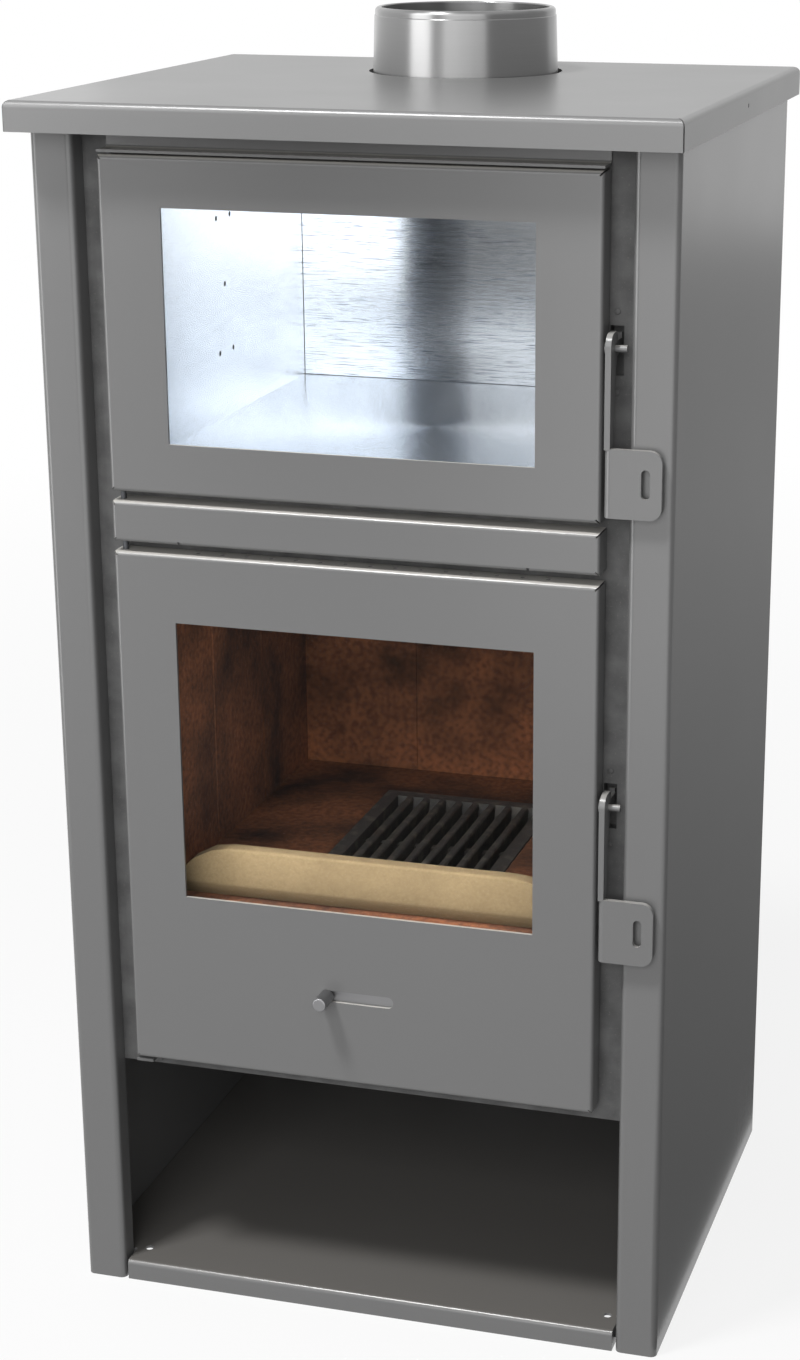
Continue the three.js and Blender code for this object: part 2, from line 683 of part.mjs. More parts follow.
// Behind each latch slot: a closed pocket that the hook swings in, riveted to the frame.
function latchPocket(pivotZ) {
  const half = POCKET_WIDTH / 2;
  const top = pivotZ + LATCH_SLOT_ABOVE + POCKET_WALL;
  const bottom = pivotZ - LATCH_SLOT_BELOW - POCKET_WALL;
  const back = caseFront + POCKET_DEPTH;
  const block = box(latchX - half, latchX + half, caseFront, back, bottom - POCKET_END, top + POCKET_END);
  const hollow = box(latchX - half + POCKET_WALL, latchX + half - POCKET_WALL,
    caseFront - OPEN, back - POCKET_WALL, bottom, top);
  const rivets = rivetHeights(pivotZ).flatMap((z) => [
    rod("y", latchX, z, RIVET_RADIUS, frameFront - GAP - RIVET_HEAD / 2, caseFront + POCKET_WALL),
    rod("y", latchX, z, RIVET_HEAD_RADIUS, frameFront - GAP - RIVET_HEAD, frameFront - GAP),
  ]);
  return join([block.subtract(hollow), ...rivets]);
}

// ---------------------------------------------------------------- log store
function logTray() {
  const half = panelInner - GAP;
  const frontHalf = flangeInner - TRAY_SIDE_GAP;
  const front = TRAY_SETBACK;
  const neck = frameBack;
  const back = panelInnerBack;
  const under = TRAY_HEIGHT - TRAY_SHEET;
  const lip = outline(
    [[front, 0], [neck + TRAY_BEND, 0], [neck + TRAY_BEND, TRAY_HEIGHT], [front, TRAY_HEIGHT]],
    [0, 0, 0, TRAY_BEND],
  );
  const outer = join([
    slab("x", lip, -frontHalf, frontHalf),
    box(-half, half, neck, back, 0, TRAY_HEIGHT),
  ]);
  const inner = join([
    box(-frontHalf + TRAY_SHEET, frontHalf - TRAY_SHEET, front + TRAY_SHEET, neck + 2 * TRAY_BEND,
      -OPEN, under),
    box(-half + TRAY_SHEET, half - TRAY_SHEET, neck + TRAY_SHEET, back - TRAY_SHEET, -OPEN, under),
  ]);
  const holeX = flangeInner - TRAY_HOLE_SIDE;
  const holes = [-holeX, holeX].flatMap((x) => [TRAY_HOLE_DEPTH, back - TRAY_HOLE_DEPTH].map((y) =>
    rod("z", x, y, TRAY_HOLE_RADIUS, under - OPEN, TRAY_HEIGHT + OPEN)));
  return cut(outer, [inner, ...holes]);
}

function heatShield() {
  const half = panelInner - GAP;
  return box(-half, half, caseFront, panelInnerBack, shieldBottom, shieldBottom + SHIELD_SHEET);
}

function supportRail(side) {
  const top = shieldBottom - GAP;
  const outer = panelInner - GAP;
  const path = [
    [side * outer, top - SUPPORT_LEG],
    [side * outer, top],
    [side * (caseInner - SUPPORT_SHEET), top],
  ];
  const section = side > 0 ? path : path.toReversed();
  return slab("y", bentSheet(section, SUPPORT_SHEET, BODY_BEND), caseFront, caseBack);
}

// ---------------------------------------------------------------- inner case
function caseWrap() {
  const path = [
    [caseHalf, caseFront],
    [caseHalf, caseBack],
    [-caseHalf, caseBack],
    [-caseHalf, caseFront],
  ];
  return slab("z", bentSheet(path, CASE_SHEET, CASE_BEND), caseBottom, caseTop);
}

function caseTopPlate() {
  const plate = box(-caseHalf, caseHalf, caseFront, caseBack, caseTop + GAP, caseTop + GAP + CASE_SHEET);
  const bore = circle(collarX, collarY, COLLAR_RADIUS - COLLAR_WALL, COLLAR_SIDES);
  const hole = slab("z", bore, caseTop, topUnderside);
  return plate.subtract(hole);
}

function caseFloor() {
  return box(-brickOuter, brickOuter, caseFront, caseInnerBack - GAP,
    ashFloorTop - CASE_SHEET, ashFloorTop);
}

function ovenLiner() {
  const outer = ovenHalf + OVEN_SHEET;
  const back = ovenBack + OVEN_SHEET + GAP;
  const tube = box(-outer, outer, caseFront, back, ovenFloor - OVEN_SHEET, ovenCeiling + OVEN_SHEET);
  const hollow = box(-ovenHalf, ovenHalf, caseFront - OPEN, back + OPEN, ovenFloor, ovenCeiling);
  const middleY = (caseFront + ovenBack) / 2;
  const middleZ = (ovenFloor + ovenCeiling) / 2;
  const holes = [[0, 0], [-1, -1], [-1, 1], [1, -1], [1, 1]].map(([alongY, alongZ]) => {
    const y = middleY + alongY * SHELF_HOLE_SPREAD;
    const z = middleZ + alongZ * SHELF_HOLE_RISE;
    return rod("x", y, z, SHELF_HOLE_RADIUS, -outer - OPEN, outer + OPEN);
  });
  return cut(tube, [hollow, ...holes]);
}

function ovenBackPlate() {
  const half = ovenHalf - GAP;
  return box(-half, half, ovenBack, ovenBack + OVEN_SHEET, ovenFloor + GAP, ovenCeiling - GAP);
}

// ---------------------------------------------------------------- firebox
const grateMiddle = (caseFront + caseInnerBack) / 2;

function grateOpening(shrink, bottom, top) {
  const halfX = GRATE_WIDTH / 2 - shrink;
  const halfY = GRATE_DEPTH / 2 - shrink;
  return box(-halfX, halfX, grateMiddle - halfY, grateMiddle + halfY, bottom, top);
}

function gratePlate() {
  const underside = gratePlateTop - GRATE_PLATE;
  const plate = box(-brickOuter, brickOuter, caseFront, caseInnerBack - GAP, underside, gratePlateTop);
  return plate.subtract(grateOpening(GRATE_LEDGE, underside - OPEN, gratePlateTop + OPEN));
}

function hearthBrick() {
  const base = gratePlateTop + GAP;
  const slabBrick = box(-brickOuter, brickOuter, caseFront, caseInnerBack - GAP, base, hearth);
  return cut(slabBrick, [
    grateOpening(GRATE_LEDGE, base - OPEN, hearth),
    grateOpening(-GAP, hearth - GRATE_THICKNESS - GAP, hearth + OPEN),
  ]);
}

function fireGrate() {
  const block = grateOpening(0, hearth - GRATE_THICKNESS, hearth);
  const inside = GRATE_WIDTH - 2 * GRATE_RIM;
  const pitch = (inside + GRATE_BAR) / GRATE_SLOTS;
  const slotY = GRATE_DEPTH / 2 - GRATE_RIM;
  const slots = Array.from({ length: GRATE_SLOTS }, (_, index) => {
    const x = -inside / 2 + index * pitch;
    return box(x, x + pitch - GRATE_BAR, grateMiddle - slotY, grateMiddle + slotY,
      hearth - GRATE_THICKNESS - OPEN, hearth + OPEN);
  });
  return cut(block, slots);
}

function sideBrick(side) {
  const ends = [side * brickInner, side * brickOuter].sort((a, b) => a - b);
  const front = caseFront + POCKET_DEPTH + GAP;
  return box(...ends, front, caseInnerBack - BRICK - 2 * GAP, brickBase, brickTop);
}

function backBrick() {
  const back = caseInnerBack - GAP;
  return box(-brickOuter, brickOuter, back - BRICK, back, brickBase, brickTop);
}

function logGuard() {
  const front = frameBack + GUARD_SETBACK;
  const top = brickBase + GUARD_HEIGHT;
  const side = outline(
    [
      [front + GUARD_FOOT_CUT, brickBase],
      [front + GUARD_DEPTH, brickBase],
      [front + GUARD_DEPTH, top],
      [front, top],
      [front, brickBase + GUARD_FOOT_HEIGHT],
    ],
    [0, 0, GUARD_EDGE, GUARD_EDGE, 0],
  );
  const footHalf = brickInner - GUARD_SIDE_PLAY;
  const topHalf = footHalf - GUARD_LEAN;
  const face = outline(
    [
      [-footHalf, brickBase],
      [footHalf, brickBase],
      [topHalf, top],
      [-topHalf, top],
    ],
    [0, 0, GUARD_ROUND, GUARD_ROUND],
  );
  const bar = slab("x", side, -footHalf, footHalf);
  return bar.intersect(slab("y", face, front - OPEN, front + GUARD_DEPTH + OPEN));
}

function smokeBaffle() {
  const bottom = brickTop + GAP;
  return box(-brickOuter, brickOuter, caseFront + BAFFLE_FRONT_GAP, caseInnerBack - GAP,
    bottom, bottom + BAFFLE);
}

function ashPan() {
  const half = ASH_PAN_WIDTH / 2;
  const bottom = ashFloorTop + GAP;
  const top = bottom + ASH_PAN_HEIGHT;
  const back = ASH_PAN_FRONT + ASH_PAN_DEPTH;
  const block = box(-half, half, ASH_PAN_FRONT, back, bottom, top);
  const hollow = box(-half + ASH_PAN_SHEET, half - ASH_PAN_SHEET,
    ASH_PAN_FRONT + ASH_PAN_SHEET, back - ASH_PAN_SHEET, bottom + ASH_PAN_SHEET, top + OPEN);
  const fingerSlot = box(-ASH_SLOT_LENGTH / 2, ASH_SLOT_LENGTH / 2, ASH_PAN_FRONT - OPEN,
    ASH_PAN_FRONT + ASH_PAN_SHEET + OPEN, top - ASH_SLOT_DROP - ASH_SLOT_HEIGHT, top - ASH_SLOT_DROP);
  return cut(block, [hollow, fingerSlot]);
}

// ---------------------------------------------------------------- doors
function doorPan(door) {
  const low = { x: -doorHalf, y: doorFront, z: door.bottom };
  const high = { x: doorHalf, y: doorBack, z: door.top };
  const pan = foldedPan(low, high, "y", "low", DOOR_SHEET, DOOR_BEND);
  const window = box(-windowHalf, windowHalf, doorFront - OPEN, doorPlateBack + OPEN,
    door.windowBottom, door.windowTop);
  const pivotHole = rod("x", pivotY, door.pivotZ, PIVOT_RADIUS + GAP, innerFrameHalf, doorHalf + OPEN);
  return cut(pan, [
    window,
    pivotHole,
    hingePinHole(door.bottom, door.top),
    ...cornerSlits(low, high, "y", DOOR_SLIT, DOOR_BEND),
    ...door.cuts,
  ]);
}

function doorGlass(door) {
  const half = windowHalf + GLASS_OVERLAP;
  const front = doorPlateBack + GAP;
  return box(-half, half, front, front + GLASS_THICKNESS,
    door.windowBottom - GLASS_OVERLAP, door.windowTop + GLASS_OVERLAP);
}

// A folded strip that laps the glass and stands on the door plate beyond it.
function glassRetainer(door, side) {
  const edge = side > 0 ? door.windowTop + GLASS_OVERLAP : door.windowBottom - GLASS_OVERLAP;
  const foot = doorPlateBack + GAP;
  const lap = foot + GLASS_THICKNESS + GAP;
  const web = edge + side * RETAINER_WEB_GAP;
  const path = [
    [foot, web + side * RETAINER_FOOT],
    [foot, web],
    [lap, web],
    [lap, edge - side * RETAINER_LAP],
  ];
  const section = side > 0 ? path : path.toReversed();
  return slab("x", bentSheet(section, RETAINER_SHEET, RETAINER_BEND), -windowHalf, windowHalf);
}

function doorInnerFrame(door) {
  const low = { x: -innerFrameHalf, y: doorPlateBack + GAP, z: door.bottom + INNER_FRAME_END };
  const high = { x: innerFrameHalf, y: innerFrameBack, z: door.top - INNER_FRAME_END };
  const pan = foldedPan(low, high, "y", "high", INNER_FRAME_SHEET, INNER_FRAME_BEND);
  return pan.subtract(box(low.x + INNER_FRAME_RIM, high.x - INNER_FRAME_RIM, low.y, high.y + OPEN,
    low.z + INNER_FRAME_RIM, high.z - INNER_FRAME_RIM));
}

function doorSeal(door) {
  const half = innerFrameHalf - SEAL_EDGE;
  const bottom = door.bottom + INNER_FRAME_END + SEAL_EDGE;
  const top = door.top - INNER_FRAME_END - SEAL_EDGE;
  const low = { x: -half, y: innerFrameBack + GAP, z: bottom };
  const high = { x: half, y: frameFront - GAP, z: top };
  const ring = roundedBlock(low, high, "y", "high", SEAL_ROUND);
  return ring.subtract(box(-half + SEAL_WIDTH, half - SEAL_WIDTH, low.y - OPEN, high.y + OPEN,
    bottom + SEAL_WIDTH, top - SEAL_WIDTH));
}

// A pin through a door's folded edge and the hinge plate beside it.
function hingePin(doorEdge, side, plateFar) {
  const inside = doorEdge - side * (DOOR_SHEET + GAP);
  const headEnds = [inside, inside - side * HINGE_HEAD].sort((a, b) => a - b);
  const pinEnds = [inside - (side * HINGE_HEAD) / 2, plateFar].sort((a, b) => a - b);
  return join([
    rod("z", hingeX, hingeY, HINGE_HEAD_RADIUS, ...headEnds),
    rod("z", hingeX, hingeY, HINGE_PIN_RADIUS, ...pinEnds),
  ]);
}

// ---------------------------------------------------------------- latch levers
function latchLever(pivotZ) {
  const left = latchX - LEVER_SHEET / 2;
  const right = latchX + LEVER_SHEET / 2;
  const front = -LEVER_FRONT;
  const back = front + LEVER_DEPTH;
  const headBack = pivotY + LEVER_HEAD_BACK;
  const tip = frameFront + HOOK_REACH;
  const gripTop = pivotZ - LEVER_LENGTH + GRIP_HEIGHT;
  const gripBottom = pivotZ - LEVER_LENGTH;
  const side = outline(
    [
      [front, gripTop - OPEN],
      [back, gripTop - OPEN],
      [back, pivotZ - LEVER_GUSSET],
      [headBack, pivotZ - headBack + pivotY],
      [tip, pivotZ - HOOK_BOTTOM],
      [tip, pivotZ + HOOK_TOP],
      [tip - HOOK_TIP, pivotZ + HOOK_TOP],
      [tip - HOOK_TIP, pivotZ + HOOK_NECK],
      [headBack, pivotZ + HOOK_NECK],
      [headBack, pivotZ + LEVER_HEAD],
      [front, pivotZ + LEVER_HEAD],
    ],
    [0, 0, 0, 0, HOOK_ROUND, HOOK_ROUND, 0, 0, 0, LEVER_HEAD_CORNER, LEVER_HEAD_ROUND],
  );
  const arm = slab("x", side, left, right);
  const bend = [[left, back], [left, front], [left + GRIP_WIDTH, front]];
  const plan = bentSheet(bend, LEVER_SHEET, LEVER_BEND);
  const grip = slab("z", plan, gripBottom, gripTop);
  const face = outline(
    [
      [left, gripBottom],
      [left + GRIP_WIDTH, gripBottom],
      [left + GRIP_WIDTH, gripTop],
      [left, gripTop],
    ],
    [0, GRIP_ROUND, GRIP_ROUND, 0],
  );
  const slotX = left + GRIP_WIDTH - GRIP_SLOT_EDGE;
  const slotZ = (gripBottom + gripTop) / 2 + GRIP_SLOT_LIFT;
  const slot = roundEndedSlot(slotX, slotZ, GRIP_SLOT_WIDTH / 2, GRIP_SLOT_HEIGHT / 2, front - OPEN, back);
  const shaped = grip.intersect(slab("y", face, front - OPEN, back + OPEN));
  const pivotHole = rod("x", pivotY, pivotZ, PIVOT_RADIUS + PIVOT_PLAY, left - OPEN, right + OPEN);
  return cut(join([arm, shaped]), [slot, pivotHole]);
}

function leverPivot(pivotZ) {
  const flangeInside = doorHalf - DOOR_SHEET - GAP;
  const leverLeft = latchX - LEVER_SHEET / 2;
  const end = latchX + LEVER_SHEET / 2 + PIVOT_STUB;
  return join([
    rod("x", pivotY, pivotZ, PIVOT_COLLAR_RADIUS, flangeInside - PIVOT_COLLAR, flangeInside),
    rod("x", pivotY, pivotZ, PIVOT_COLLAR_RADIUS, doorHalf + GAP, leverLeft - GAP),
    rod("x", pivotY, pivotZ, PIVOT_RADIUS, flangeInside - PIVOT_COLLAR / 2, end),
  ]);
}

// ---------------------------------------------------------------- air slider
const airZ = fireDoorBottom + AIR_SLOT_RISE;
const knobX = KNOB_NECK + KNOB_END_PLAY - AIR_SLOT_LENGTH / 2;
const sliderTravel = -2 * knobX;
const sliderFront = doorPlateBack + GAP;
const sliderBack = sliderFront + SLIDER_SHEET;

// A row of round holes, shut at rest and open when the slider stands at its right-hand end.
function registerHoles(shift, from, to) {
  const first = shift - REGISTER_HOLE_OFFSET - ((REGISTER_HOLE_COUNT - 1) / 2) * REGISTER_HOLE_PITCH;
  return Array.from({ length: REGISTER_HOLE_COUNT }, (_, index) =>
    rod("y", first + index * REGISTER_HOLE_PITCH, airZ, REGISTER_HOLE_RADIUS, from, to));
}

function airSlot() {
  const halfX = AIR_SLOT_LENGTH / 2;
  const halfZ = AIR_SLOT_HEIGHT / 2;
  return roundEndedSlot(0, airZ, halfX, halfZ, doorFront - OPEN, doorPlateBack + OPEN);
}

function airHoles() {
  const first = AIR_HOLE_OFFSET - ((AIR_HOLE_COUNT - 1) / 2) * AIR_HOLE_PITCH;
  const y = doorFront + AIR_HOLE_DEPTH;
  return Array.from({ length: AIR_HOLE_COUNT }, (_, index) => {
    const hole = circle(first + index * AIR_HOLE_PITCH, y, AIR_HOLE_RADIUS, SMALL_HOLE_SIDES);
    return slab("z", hole, fireDoorTop - DOOR_SHEET - OPEN, fireDoorTop + OPEN);
  });
}

function airSliderPlate() {
  const halfX = SLIDER_LENGTH / 2;
  const halfZ = SLIDER_HEIGHT / 2;
  const plate = box(knobX - halfX, knobX + halfX, sliderFront, sliderBack, airZ - halfZ, airZ + halfZ);
  const neckHole = rod("y", knobX, airZ, KNOB_NECK + GAP, sliderFront - OPEN, sliderBack + OPEN);
  return cut(plate, [neckHole, ...registerHoles(-sliderTravel, sliderFront - OPEN, sliderBack + OPEN)]);
}

function airKnob() {
  const front = doorFront - GAP - KNOB_LENGTH;
  const back = doorFront - GAP;
  const profile = [
    [0, front],
    [KNOB_RADIUS - KNOB_CHAMFER, front],
    [KNOB_RADIUS, front + KNOB_CHAMFER],
    [KNOB_RADIUS, back],
    [KNOB_NECK, back],
    [KNOB_NECK, sliderBack],
    [0, sliderBack],
  ].map(([radius, y]) => new THREE.Vector2(radius, y));
  const geometry = new THREE.LatheGeometry(profile, KNOB_SIDES);
  geometry.translate(knobX, 0, airZ);
  return toSolid(geometry);
}

// The slider runs in this cover, whose holes let the air through to the ash pit.
function airRegister() {
  const trackHalfX = (SLIDER_LENGTH + sliderTravel) / 2 + SLIDER_END_PLAY;
  const trackHalfZ = SLIDER_HEIGHT / 2 + GAP;
  const halfX = trackHalfX + REGISTER_RIM;
  const halfZ = trackHalfZ + REGISTER_RIM;
  const back = sliderBack + GAP + REGISTER_SHEET;
  const cover = box(-halfX, halfX, sliderFront, back, airZ - halfZ, airZ + halfZ);
  const track = box(-trackHalfX, trackHalfX, sliderFront - OPEN, sliderBack + GAP,
    airZ - trackHalfZ, airZ + trackHalfZ);
  return cut(cover, [track, ...registerHoles(0, sliderBack, back + OPEN)]);
}

// ---------------------------------------------------------------- the stove
const ovenDoor = {
  name: "oven",
  bottom: ovenDoorBottom,
  top: ovenDoorTop,
  windowBottom: ovenDoorBottom + OVEN_WINDOW_BELOW,
  windowTop: ovenDoorTop - OVEN_WINDOW_ABOVE,
  pivotZ: ovenPivotZ,
  upperPlate: railBottom + RAIL_SHEET,
  lowerPlate: fasciaTop - FASCIA_SHEET,
  cuts: [],
};
const fireDoor = {
  name: "fire",
  bottom: fireDoorBottom,
  top: fireDoorTop,
  windowBottom: fireDoorBottom + FIRE_WINDOW_BELOW,
  windowTop: fireDoorTop - FIRE_WINDOW_ABOVE,
  pivotZ: firePivotZ,
  upperPlate: fasciaBottom + FASCIA_SHEET,
  lowerPlate: fireDoorBottom - OVEN_DOOR_TOP_GAP - HINGE_TAB_SHEET,
  cuts: [airSlot(), ...airHoles()],
};

addPiece("left_side_panel", sidePanel(-1), "paint");
addPiece("right_side_panel", sidePanel(1), "paint");
addPiece("top_plate", topPlate(), "topPaint");
addPiece("top_plate_screw_left", topScrew(-1), "darkSteel");
addPiece("top_plate_screw_right", topScrew(1), "darkSteel");
addPiece("back_panel", backPanel(), "darkSteel");
[-1, 1].forEach((side) => backScrewHeights.forEach((z, index) => {
  const name = `back_screw_${index === 0 ? "lower" : "upper"}_${side < 0 ? "left" : "right"}`;
  addPiece(name, backScrew(side, z), "brightSteel");
}));
addPiece("flue_collar", flueCollar(), "collarPaint");

addPiece("face_frame", faceFrame(), "darkSteel");
addPiece("upper_hinge_rail", upperHingeRail(), "paint");
addPiece("middle_fascia", middleFascia(), "paint");
addPiece("lower_hinge_tab", lowerHingeTab(), "darkSteel");
addPiece("upper_latch_pocket", latchPocket(ovenPivotZ), "darkSteel");
addPiece("lower_latch_pocket", latchPocket(firePivotZ), "darkSteel");

addPiece("log_tray", logTray(), "paint");
addPiece("heat_shield", heatShield(), "darkSteel");
addPiece("support_rail_left", supportRail(-1), "darkSteel");
addPiece("support_rail_right", supportRail(1), "darkSteel");

addPiece("case_wrap", caseWrap(), "darkSteel");
addPiece("case_top_plate", caseTopPlate(), "darkSteel");
addPiece("case_floor", caseFloor(), "darkSteel");
addPiece("oven_liner", ovenLiner(), "brightSteel");
addPiece("oven_back_plate", ovenBackPlate(), "brightSteel");

addPiece("grate_plate", gratePlate(), "darkSteel");
addPiece("hearth_brick", hearthBrick(), "brick");
addPiece("side_brick_left", sideBrick(-1), "brick");
addPiece("side_brick_right", sideBrick(1), "brick");
addPiece("back_brick", backBrick(), "brick");
addPiece("fire_grate", fireGrate(), "castIron");
addPiece("log_guard", logGuard(), "vermiculite");
addPiece("smoke_baffle", smokeBaffle(), "vermiculite");
addPiece("ash_pan", ashPan(), "darkSteel");

for (const door of [ovenDoor, fireDoor]) {
  addPiece(`${door.name}_door_panel`, doorPan(door), "paint");
  addPiece(`${door.name}_door_glass`, doorGlass(door), "glass");
  addPiece(`${door.name}_glass_retainer_top`, glassRetainer(door, 1), "darkSteel");
  addPiece(`${door.name}_glass_retainer_bottom`, glassRetainer(door, -1), "darkSteel");
  addPiece(`${door.name}_door_inner_frame`, doorInnerFrame(door), "darkSteel");
  addPiece(`${door.name}_door_seal`, doorSeal(door), "rope");
  addPiece(`${door.name}_hinge_pin_upper`, hingePin(door.top, 1, door.upperPlate), "darkSteel");
  addPiece(`${door.name}_hinge_pin_lower`, hingePin(door.bottom, -1, door.lowerPlate), "darkSteel");
  addPiece(`${door.name}_latch_lever`, latchLever(door.pivotZ), "leverPaint");
  addPiece(`${door.name}_latch_pivot`, leverPivot(door.pivotZ), "leverPaint");
}

addPiece("air_slider_plate", airSliderPlate(), "turnedSteel");
addPiece("air_slider_knob", airKnob(), "turnedSteel");
addPiece("air_register", airRegister(), "darkSteel");

stove.position.y = -(topFront + topBack) / 2;
const assembly = new THREE.Group();
assembly.add(stove);

export default assembly;
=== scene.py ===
"""A wood cookstove, dressed: a folded-sheet body in satin heat paint, with a glazed steel oven
above a glazed firebox and an open log store below.

Metres, +Z up, front towards -Y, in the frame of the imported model.
"""

import logging
import math
from collections.abc import Callable, Iterable, Sequence
from dataclasses import dataclass
from enum import Enum
from typing import Any

import bmesh
import bpy
from mathutils import Euler, Matrix, Vector


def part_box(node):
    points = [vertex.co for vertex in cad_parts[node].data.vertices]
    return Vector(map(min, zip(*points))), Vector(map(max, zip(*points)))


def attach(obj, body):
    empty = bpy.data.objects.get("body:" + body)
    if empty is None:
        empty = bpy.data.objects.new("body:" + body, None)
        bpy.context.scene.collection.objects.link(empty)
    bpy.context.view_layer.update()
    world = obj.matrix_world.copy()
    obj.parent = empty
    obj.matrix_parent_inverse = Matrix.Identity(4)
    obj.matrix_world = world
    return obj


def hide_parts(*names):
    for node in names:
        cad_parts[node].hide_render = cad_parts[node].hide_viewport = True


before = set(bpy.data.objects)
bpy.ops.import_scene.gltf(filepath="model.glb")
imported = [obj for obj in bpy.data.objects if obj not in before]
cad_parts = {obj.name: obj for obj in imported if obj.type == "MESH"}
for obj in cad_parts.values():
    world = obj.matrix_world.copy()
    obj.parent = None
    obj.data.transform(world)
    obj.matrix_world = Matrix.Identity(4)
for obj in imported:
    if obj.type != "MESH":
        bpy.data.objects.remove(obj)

MM = 0.001
OPEN = 1 * MM  # how far a cutter runs past the face that it opens
ARC_STEP = math.radians(9)  # the turn between two faces of a fold
SMOOTH_BELOW = math.radians(50)  # neighbouring faces that turn less are shaded as one
FLAT_BELOW = math.radians(0.05)  # neighbouring faces that turn less are one flat face
MERGE = 0.002 * MM
EDGE = 0.25 * MM  # the broken edge of cut sheet steel
FINE_EDGE = 0.1 * MM  # the same on small turned and punched shapes
PIN_EDGE = 0.4 * MM  # the same on the ends of pins
NEARLY_ROUND = 0.999  # a slot's corner radius over half its narrow side, so that no points double
WIDE_SIDES = 128  # of a round as wide as the flue collar
SIDES = 32
SMALL_SIDES = 24  # of a round of a few millimetres
BEAD_SIDES = 8  # of a bead that is repeated hundreds of times
BEAD_RINGS = 5
SHEET_SLIT = 0.5 * MM  # the open mitre at a folded corner
HINGE_HOLE_RADIUS = 2.5 * MM
COLLAR_FOOT = 13 * MM  # how far the flue collar's foot stands out of its wall

log = logging.getLogger("cookstove")
Pair = tuple[float, float]
Triple = tuple[float, float, float]
Mesh = bpy.types.Mesh
Tree = bpy.types.NodeTree
Socket = bpy.types.NodeSocket


class Axis(Enum):
    """An axis of the frame, by its place in a vector."""

    X = 0
    Y = 1
    Z = 2

    def point(self, flat: Sequence[float], station: float) -> Vector:
        """Give the point at a station of this axis and at a place on the two others."""
        return Vector((*flat[: self.value], station, *flat[self.value :]))


class Side(Enum):
    """The stove's left and right, as seen from the front."""

    LEFT = -1
    RIGHT = 1


class End(Enum):
    """The lower or the upper end of an axis."""

    LOW = -1
    HIGH = 1


class Joining(Enum):
    """How two shapes become one."""

    MINUS = "DIFFERENCE"
    PLUS = "UNION"
    WITHIN = "INTERSECT"


class Body(Enum):
    """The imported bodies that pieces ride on."""

    STOVE = "stove_body"
    OVEN_DOOR = "oven_door"
    OVEN_LEVER = "oven_lever"
    FIRE_DOOR = "fire_door"
    FIRE_LEVER = "fire_lever"
    AIR_SLIDER = "air_slider"


# ---------------------------------------------------------------- meshes
def held(mesh: Mesh, name: str = "shape") -> bpy.types.Object:
    """Put a mesh in the scene.

    Args:
        mesh: The mesh to show.
        name: The object's name.

    Returns:
        The new object, at the origin.
    """
    thing = bpy.data.objects.new(name, mesh)
    bpy.context.scene.collection.objects.link(thing)
    return thing


def evaluated(thing: bpy.types.Object) -> Mesh:
    """Take an object's mesh as its modifiers leave it, and remove the object.

    Args:
        thing: The object, with its modifiers.

    Returns:
        A plain mesh of its own.
    """
    graph = bpy.context.evaluated_depsgraph_get()
    mesh = bpy.data.meshes.new_from_object(thing.evaluated_get(graph))
    bpy.data.objects.remove(thing)
    return mesh


def plain(shape: bmesh.types.BMesh, name: str = "shape") -> Mesh:
    """Turn a mesh in the making to a plain one.

    Args:
        shape: The mesh in the making, which is used up.
        name: The plain mesh's name.

    Returns:
        The plain mesh.
    """
    mesh = bpy.data.meshes.new(name)
    shape.to_mesh(mesh)
    shape.free()
    return mesh


def merged(mesh: Mesh) -> bmesh.types.BMesh:
    """Open a mesh for work, with the points that lie on each other merged.

    Args:
        mesh: The mesh, which stays as it is.

    Returns:
        A mesh in the making.
    """
    shape = bmesh.new()
    shape.from_mesh(mesh)
    bmesh.ops.remove_doubles(shape, verts=shape.verts, dist=MERGE)
    return shape


def gathered(meshes: Iterable[Mesh]) -> Mesh:
    """Put several meshes in one, as they are.

    Args:
        meshes: The meshes, each in its place.

    Returns:
        One mesh with all their faces.
    """
    shape = bmesh.new()
    for mesh in meshes:
        shape.from_mesh(mesh)
    return plain(shape)


def softened(mesh: Mesh, edge: float) -> Mesh:
    """Break a shape's sharp edges and shade its folds as smooth.

    Args:
        mesh: The shape's mesh.
        edge: How wide each broken edge is.

    Returns:
        A new mesh.
    """
    shape = merged(mesh)
    bmesh.ops.dissolve_limit(
        shape, angle_limit=FLAT_BELOW, verts=shape.verts[:], edges=shape.edges[:]
    )
    broken = held(plain(shape))
    bevel = broken.modifiers.new("broken_edge", "BEVEL")
    bevel.width = edge
    bevel.segments = 2
    bevel.limit_method = "ANGLE"
    bevel.angle_limit = SMOOTH_BELOW
    smooth = held(evaluated(broken))
    smooth.data.shade_smooth()
    smooth.data.set_sharp_from_angle(angle=SMOOTH_BELOW)
    weighted = smooth.modifiers.new("flat_faces", "WEIGHTED_NORMAL")
    weighted.keep_sharp = True
    return evaluated(smooth)


def strand(middle: Vector, reach: Vector, turn: Vector) -> Mesh:
    """Make one stretched bead, such as a strand of a rope where it shows.

    Args:
        middle: Where its middle goes.
        reach: Half its size along its own X, Y and Z.
        turn: How far it is turned about each axis, in degrees.

    Returns:
        The bead, smooth and of few faces.
    """
    turned_to = Euler([math.radians(angle) for angle in turn]).to_matrix().to_4x4()
    place = Matrix.Translation(middle) @ turned_to @ Matrix.Diagonal((*reach, 1))
    shape = bmesh.new()
    bmesh.ops.create_uvsphere(
        shape, u_segments=BEAD_SIDES, v_segments=BEAD_RINGS, radius=1, matrix=place
    )
    for face in shape.faces:
        face.smooth = True
    return plain(shape)


